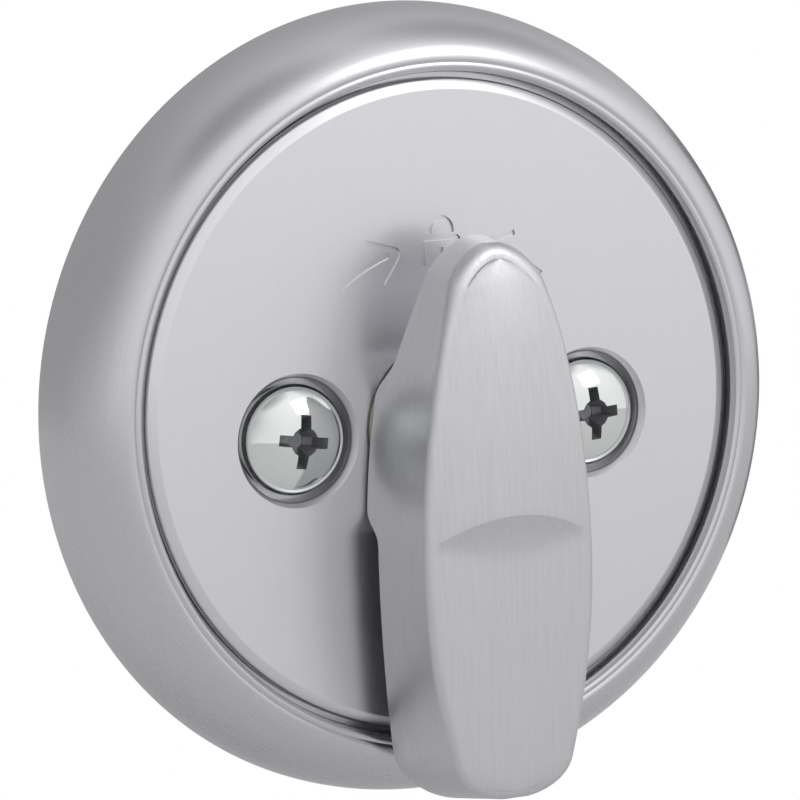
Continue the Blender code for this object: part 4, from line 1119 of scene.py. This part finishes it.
rivets = [middle(f"cage_rivet_{n}") for n in (1, 2, 3, 4)]
for side, direction in (("inside", -1), ("outside", 1)):
    y_low, y_high = sorted((BOLT_Y + direction * 4.8 * mm, BOLT_Y + direction * 6.0 * mm))
    outline = [(x - 0.75 * mm, z + BOLT_Z) for x, z in tailed_rectangle(37.5 * mm, 21.6 * mm, 2 * mm, 7.5 * mm)]
    holes = [circle(0, 0, 4.9 * mm, 60)] + [circle(x, 0, 3.0 * mm, 40) for x in (-SCREW_X, SCREW_X)]
    holes += [circle(r.x, r.z, 1.3 * mm, 24) for r in rivets]
    cage = stamped([outline] + holes, y_low, y_high, 0.15 * mm, ZINC)
    floor = BOLT_Z - 10.8 * mm
    tip = sorted((BOLT_Y + direction * 0.2 * mm, BOLT_Y + direction * 5.7 * mm))
    for start_x, end_x in ((-15.5 * mm, -8 * mm), (8 * mm, 14 * mm)):
        flange = [(start_x, floor + 0.01 * mm), (end_x, floor + 0.01 * mm), (end_x, floor + 1 * mm),
                  (start_x, floor + 1 * mm)]
        cage = carve(cage, [stamped([flange], tip[0], tip[1], 0.12 * mm, ZINC)], "UNION")
    place(f"cage_plate_{side}", cage)

for n, at in enumerate(rivets, 1):
    shoulder, wall, end = 4.5 * mm, 6.3 * mm, span(f"cage_rivet_{n}", "Y")[1] - BOLT_Y
    half = [(1.52 * mm, shoulder), (1.0 * mm, shoulder), (1.0 * mm, wall), (1.52 * mm, wall)]
    half += arc((0, wall), (1.52 * mm, end - wall), 12, 82, 6) + [(0, end)]
    place(f"cage_rivet_{n}", turned([(r, -y) for r, y in reversed(half)] + half, ZINC, at, 32))

# %% [markdown]
# ## The bolt and its sleeve
# The sleeve guides the bolt, with a window behind for the link. The bolt is a round steel bar with two flats, chamfered
# at its tip, slotted behind for the link and bored along its length for a pin of hardened steel that a saw can't cut.

# %% Sleeve, bolt, link and pins
sleeve_x = span("bolt_sleeve", "X")
wall_x = 19.9 * mm
sleeve = rounded([(0, sleeve_x[0]), (11.4 * mm, sleeve_x[0]), (11.4 * mm, sleeve_x[1]), (10.1 * mm, sleeve_x[1]),
                  (10.1 * mm, wall_x), (0, wall_x)], 0.3 * mm)
sleeve = turned(sleeve, ZINC, (0, BOLT_Y, BOLT_Z), 120, "X")
window = box((10 * mm, BOLT_Y - 2.9 * mm, 9.6 * mm), (21 * mm, BOLT_Y + 0.1 * mm, 14.4 * mm), ZINC)
place("bolt_sleeve", carve(sleeve, [window]))


def bolt_mesh():
    """Rings of the flatted round section, drawn in towards the tip by a chamfer and rounded edges."""
    rear, tip = span("bolt", "X")
    section = flatted_circle(9.7 * mm, 6.35 * mm, 28)
    shape, rings = bmesh.new(), []
    for x, share_y, share_z in ((rear, 0.97, 0.98), (rear + 0.2 * mm, 1, 1), (tip - 0.85 * mm, 1, 1),
                                (tip - 0.7 * mm, 0.99, 0.995),
                                (tip - 0.12 * mm, 0.915, 0.94), (tip, 0.885, 0.92)):
        rings.append([shape.verts.new((x, BOLT_Y + a * share_y, BOLT_Z + b * share_z)) for a, b in section])
    for low, high in zip(rings, rings[1:]):
        for k in range(len(section)):
            n = (k + 1) % len(section)
            shape.faces.new((low[k], low[n], high[n], high[k]))
    shape.faces.new(rings[0])
    shape.faces.new(rings[-1])
    mesh = bpy.data.meshes.new("bolt")
    shape.to_mesh(mesh)
    shape.free()
    mesh.materials.append(BOLT_STEEL)
    return outward(mesh)


rivet = middle("bolt_rivet")
hard = middle("hardened_pin")
bolt = carve(bolt_mesh(), [
    box((40 * mm, BOLT_Y - 2.8 * mm, BOLT_Z - 0.2 * mm), (52.6 * mm, BOLT_Y, 20 * mm), BOLT_STEEL),
    rod(2.3 * mm, 40 * mm, 80.6 * mm, (0, BOLT_Y, hard.z), "X", BOLT_STEEL),
    rod(1.8 * mm, -9 * mm, 9 * mm, (rivet.x, BOLT_Y, rivet.z), "Y", BOLT_STEEL),
])
place("bolt", bolt)

pin = middle("drive_pin")
outline = arc((pin.x, pin.z), 3 * mm, 22, 298, 40) + rounded(
    [(46.6 * mm, 10 * mm), (46.6 * mm, 4.9 * mm), (52.3 * mm, 4.9 * mm), (52.3 * mm, 13.4 * mm), (46 * mm, 13.88 * mm)],
                                                             0.5 * mm)
link_y = span("bolt_link", "Y")
link = stamped([outline, circle(pin.x, pin.z, 1.55 * mm, 32), circle(rivet.x, rivet.z, 1.8 * mm, 32)], link_y[0],
               link_y[1], 0.15 * mm, ZINC)
place("bolt_link", link)

low, high = (v - BOLT_Y for v in span("drive_pin", "Y"))
profile = rounded([(0, low), (1.9 * mm, low), (1.9 * mm, low + 0.6 * mm), (1.25 * mm, low + 0.6 * mm),
                   (1.25 * mm, high), (0, high)], 0.15 * mm)
place("drive_pin", turned(profile, SPRING, (pin.x, BOLT_Y, pin.z), 40))
place("bolt_rivet", rod(1.5 * mm, -6.2 * mm, 6.2 * mm, (rivet.x, BOLT_Y, rivet.z), "Y", ZINC, 40, 0.2 * mm))
low, high = span("hardened_pin", "X")
place("hardened_pin", rod(2.0 * mm, low, high, (0, hard.y, hard.z), "X", SPRING, 40, 0.3 * mm))

# %% [markdown]
# ## The door's edge
# Two plates sit let into the door's edge, held by two wood screws. The thin one behind takes the load, and the satin
# one in front is what shows. The screws' threads are the coil tree again, coarse and tapering to the point.

# %% Edge plates and their screws
def edge_plate(node, width, height, corner, hole, finish, sink=None):
    start, end = span(node, "X")
    outline = [(BOLT_Y + a, BOLT_Z + b) for a, b in rounded_rectangle(width, height, corner)]
    opening = [(BOLT_Y + a, BOLT_Z + b) for a, b in flatted_circle(10.1 * mm, 6.7 * mm, 28)]
    offset = 20.7 * mm
    holes = [circle(BOLT_Y, BOLT_Z + step * offset, hole, 40) for step in (-1, 1)]
    plate = stamped([outline, opening] + holes, start, end, 0.2 * mm, finish, "X")
    if sink:
        for step in (-1, 1):
            cone = turned([(0, end + 0.4 * mm), (sink + 0.4 * mm, end + 0.4 * mm), (hole - 0.3 * mm, end - 0.5 * mm),
                           (0, end - 0.5 * mm)],
                          finish, (0, BOLT_Y, BOLT_Z + step * offset), 48, "X")
            plate = carve(plate, [cone])
    return place(node, plate)


edge_plate("bolt_backing_plate", 24.6 * mm, 56.3 * mm, 5.6 * mm, 3.4 * mm, ZINC)
edge_plate("bolt_faceplate", 25.4 * mm, 57.15 * mm, 6 * mm, 4.0 * mm, BRUSHED_CHROME, 4.25 * mm)

for side in ("upper", "lower"):
    node = f"faceplate_screw_{side}"
    at, (point, top) = middle(node), span(node, "X")
    body = rounded([(0, top), (3.3 * mm, top), (3.6 * mm, top - 0.25 * mm), (3.6 * mm, top - 0.6 * mm),
                    (1.8 * mm, top - 2.45 * mm),
                    (1.8 * mm, top - 5.5 * mm), (1.25 * mm, top - 6 * mm), (1.2 * mm, top - 17 * mm), (0, point)],
                   0.15 * mm)
    screw = turned([(r, -x) for r, x in body], BRUSHED_CHROME, sides=40)
    wings = [box((-1.9 * mm, -top - 1 * mm, -0.4 * mm), (1.9 * mm, -top + 1.15 * mm, 0.4 * mm), taper=0.6) for _ in (0,
                                                                                                                     1)]
    wings[1].transform(Matrix.Rotation(math.radians(90), 4, "Y"))
    screw = carve(screw, wings)
    thread = coil(1.3 * mm, -top + 6.4 * mm, -top + 17 * mm, 1.6 * mm, 0.42 * mm, 4, BRUSHED_CHROME)
    screw = gathered([screw, thread])
    screw.transform(Matrix.Translation((0, at.y, at.z)) @ Matrix.Rotation(math.radians(90), 4, "Z"))
    place(node, outward(screw))

# %% [markdown]
# ## Outside
# A plain domed plate covers the hole on the outside. It has no keyway and no screws: the two posts riveted behind it
# are bored and threaded, and the rose's screws pull on them. A foam ring keeps the weather out.

# %% Outside plate, posts and gasket
face = OUTSIDE_Y
height = span("outside_plate", "Y")[1] - face
outer = arc((26.5 * mm, face), (R - 26.5 * mm, 6.6 * mm), 1, 84, 24)
crown_of = [(r * mm, face + 6.6 * mm + (height - 6.6 * mm) * (1 - (r / 26.0) ** 2)) for r in (25, 22, 19, 16, 13, 10, 7,
                                                                                              4, 2, 0)]
hollow = [(0, face + 5 * mm), (25.6 * mm, face + 4.6 * mm), (30.2 * mm, face + 3 * mm), (R - 1.9 * mm, face), (R, face)]
profile = hollow[:1] + rounded(hollow, 0.4 * mm)[1:] + outer + crown_of
place("outside_plate", turned(profile, SPUN_CHROME, (0, 0, ROSE_Z), 200))

for side, x in (("left", -SCREW_X), ("right", SCREW_X)):
    start, end = span(f"outside_post_{side}", "Y")
    post = [(0, 43 * mm), (2.7 * mm, 42.5 * mm), (2.7 * mm, start + 0.4 * mm), (3.0 * mm, start), (3.9 * mm, start),
            (4.1 * mm, start + 0.25 * mm)]
    for k in range(3):
        base = start + (9.5 + 0.9 * k) * mm
        post += [(4.1 * mm, base), (3.85 * mm, base + 0.2 * mm), (3.85 * mm, base + 0.45 * mm),
                 (4.1 * mm, base + 0.65 * mm)]
    post += [(4.1 * mm, end - 0.25 * mm), (3.9 * mm, end), (0, end)]
    place(f"outside_post_{side}", turned(post, ZINC, (x, 0, 0), 56))

low, high = span("outside_gasket", "Y")
gasket = rounded([(28.4 * mm, low), (31.2 * mm, low), (30.6 * mm, low + 1.9 * mm), (28.4 * mm, high)], 0.5 * mm, 4,
                 closed=True)
place("outside_gasket", turned(gasket, FOAM, (0, 0, ROSE_Z), 144, ring=True))

# %% [markdown]
# ## The two boxes
# The finished pieces are meant to fill the same box as the CAD model, so that what is seen and what MuJoCo moves agree.
# Both boxes are printed.

# %% Both boxes, written side by side
new_box = [list(corner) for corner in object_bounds()]
for label, corners in (("CAD", cad_box), ("visual", new_box)):
    print(label, [round((b - a) / mm, 2) for a, b in zip(*corners)], "mm")
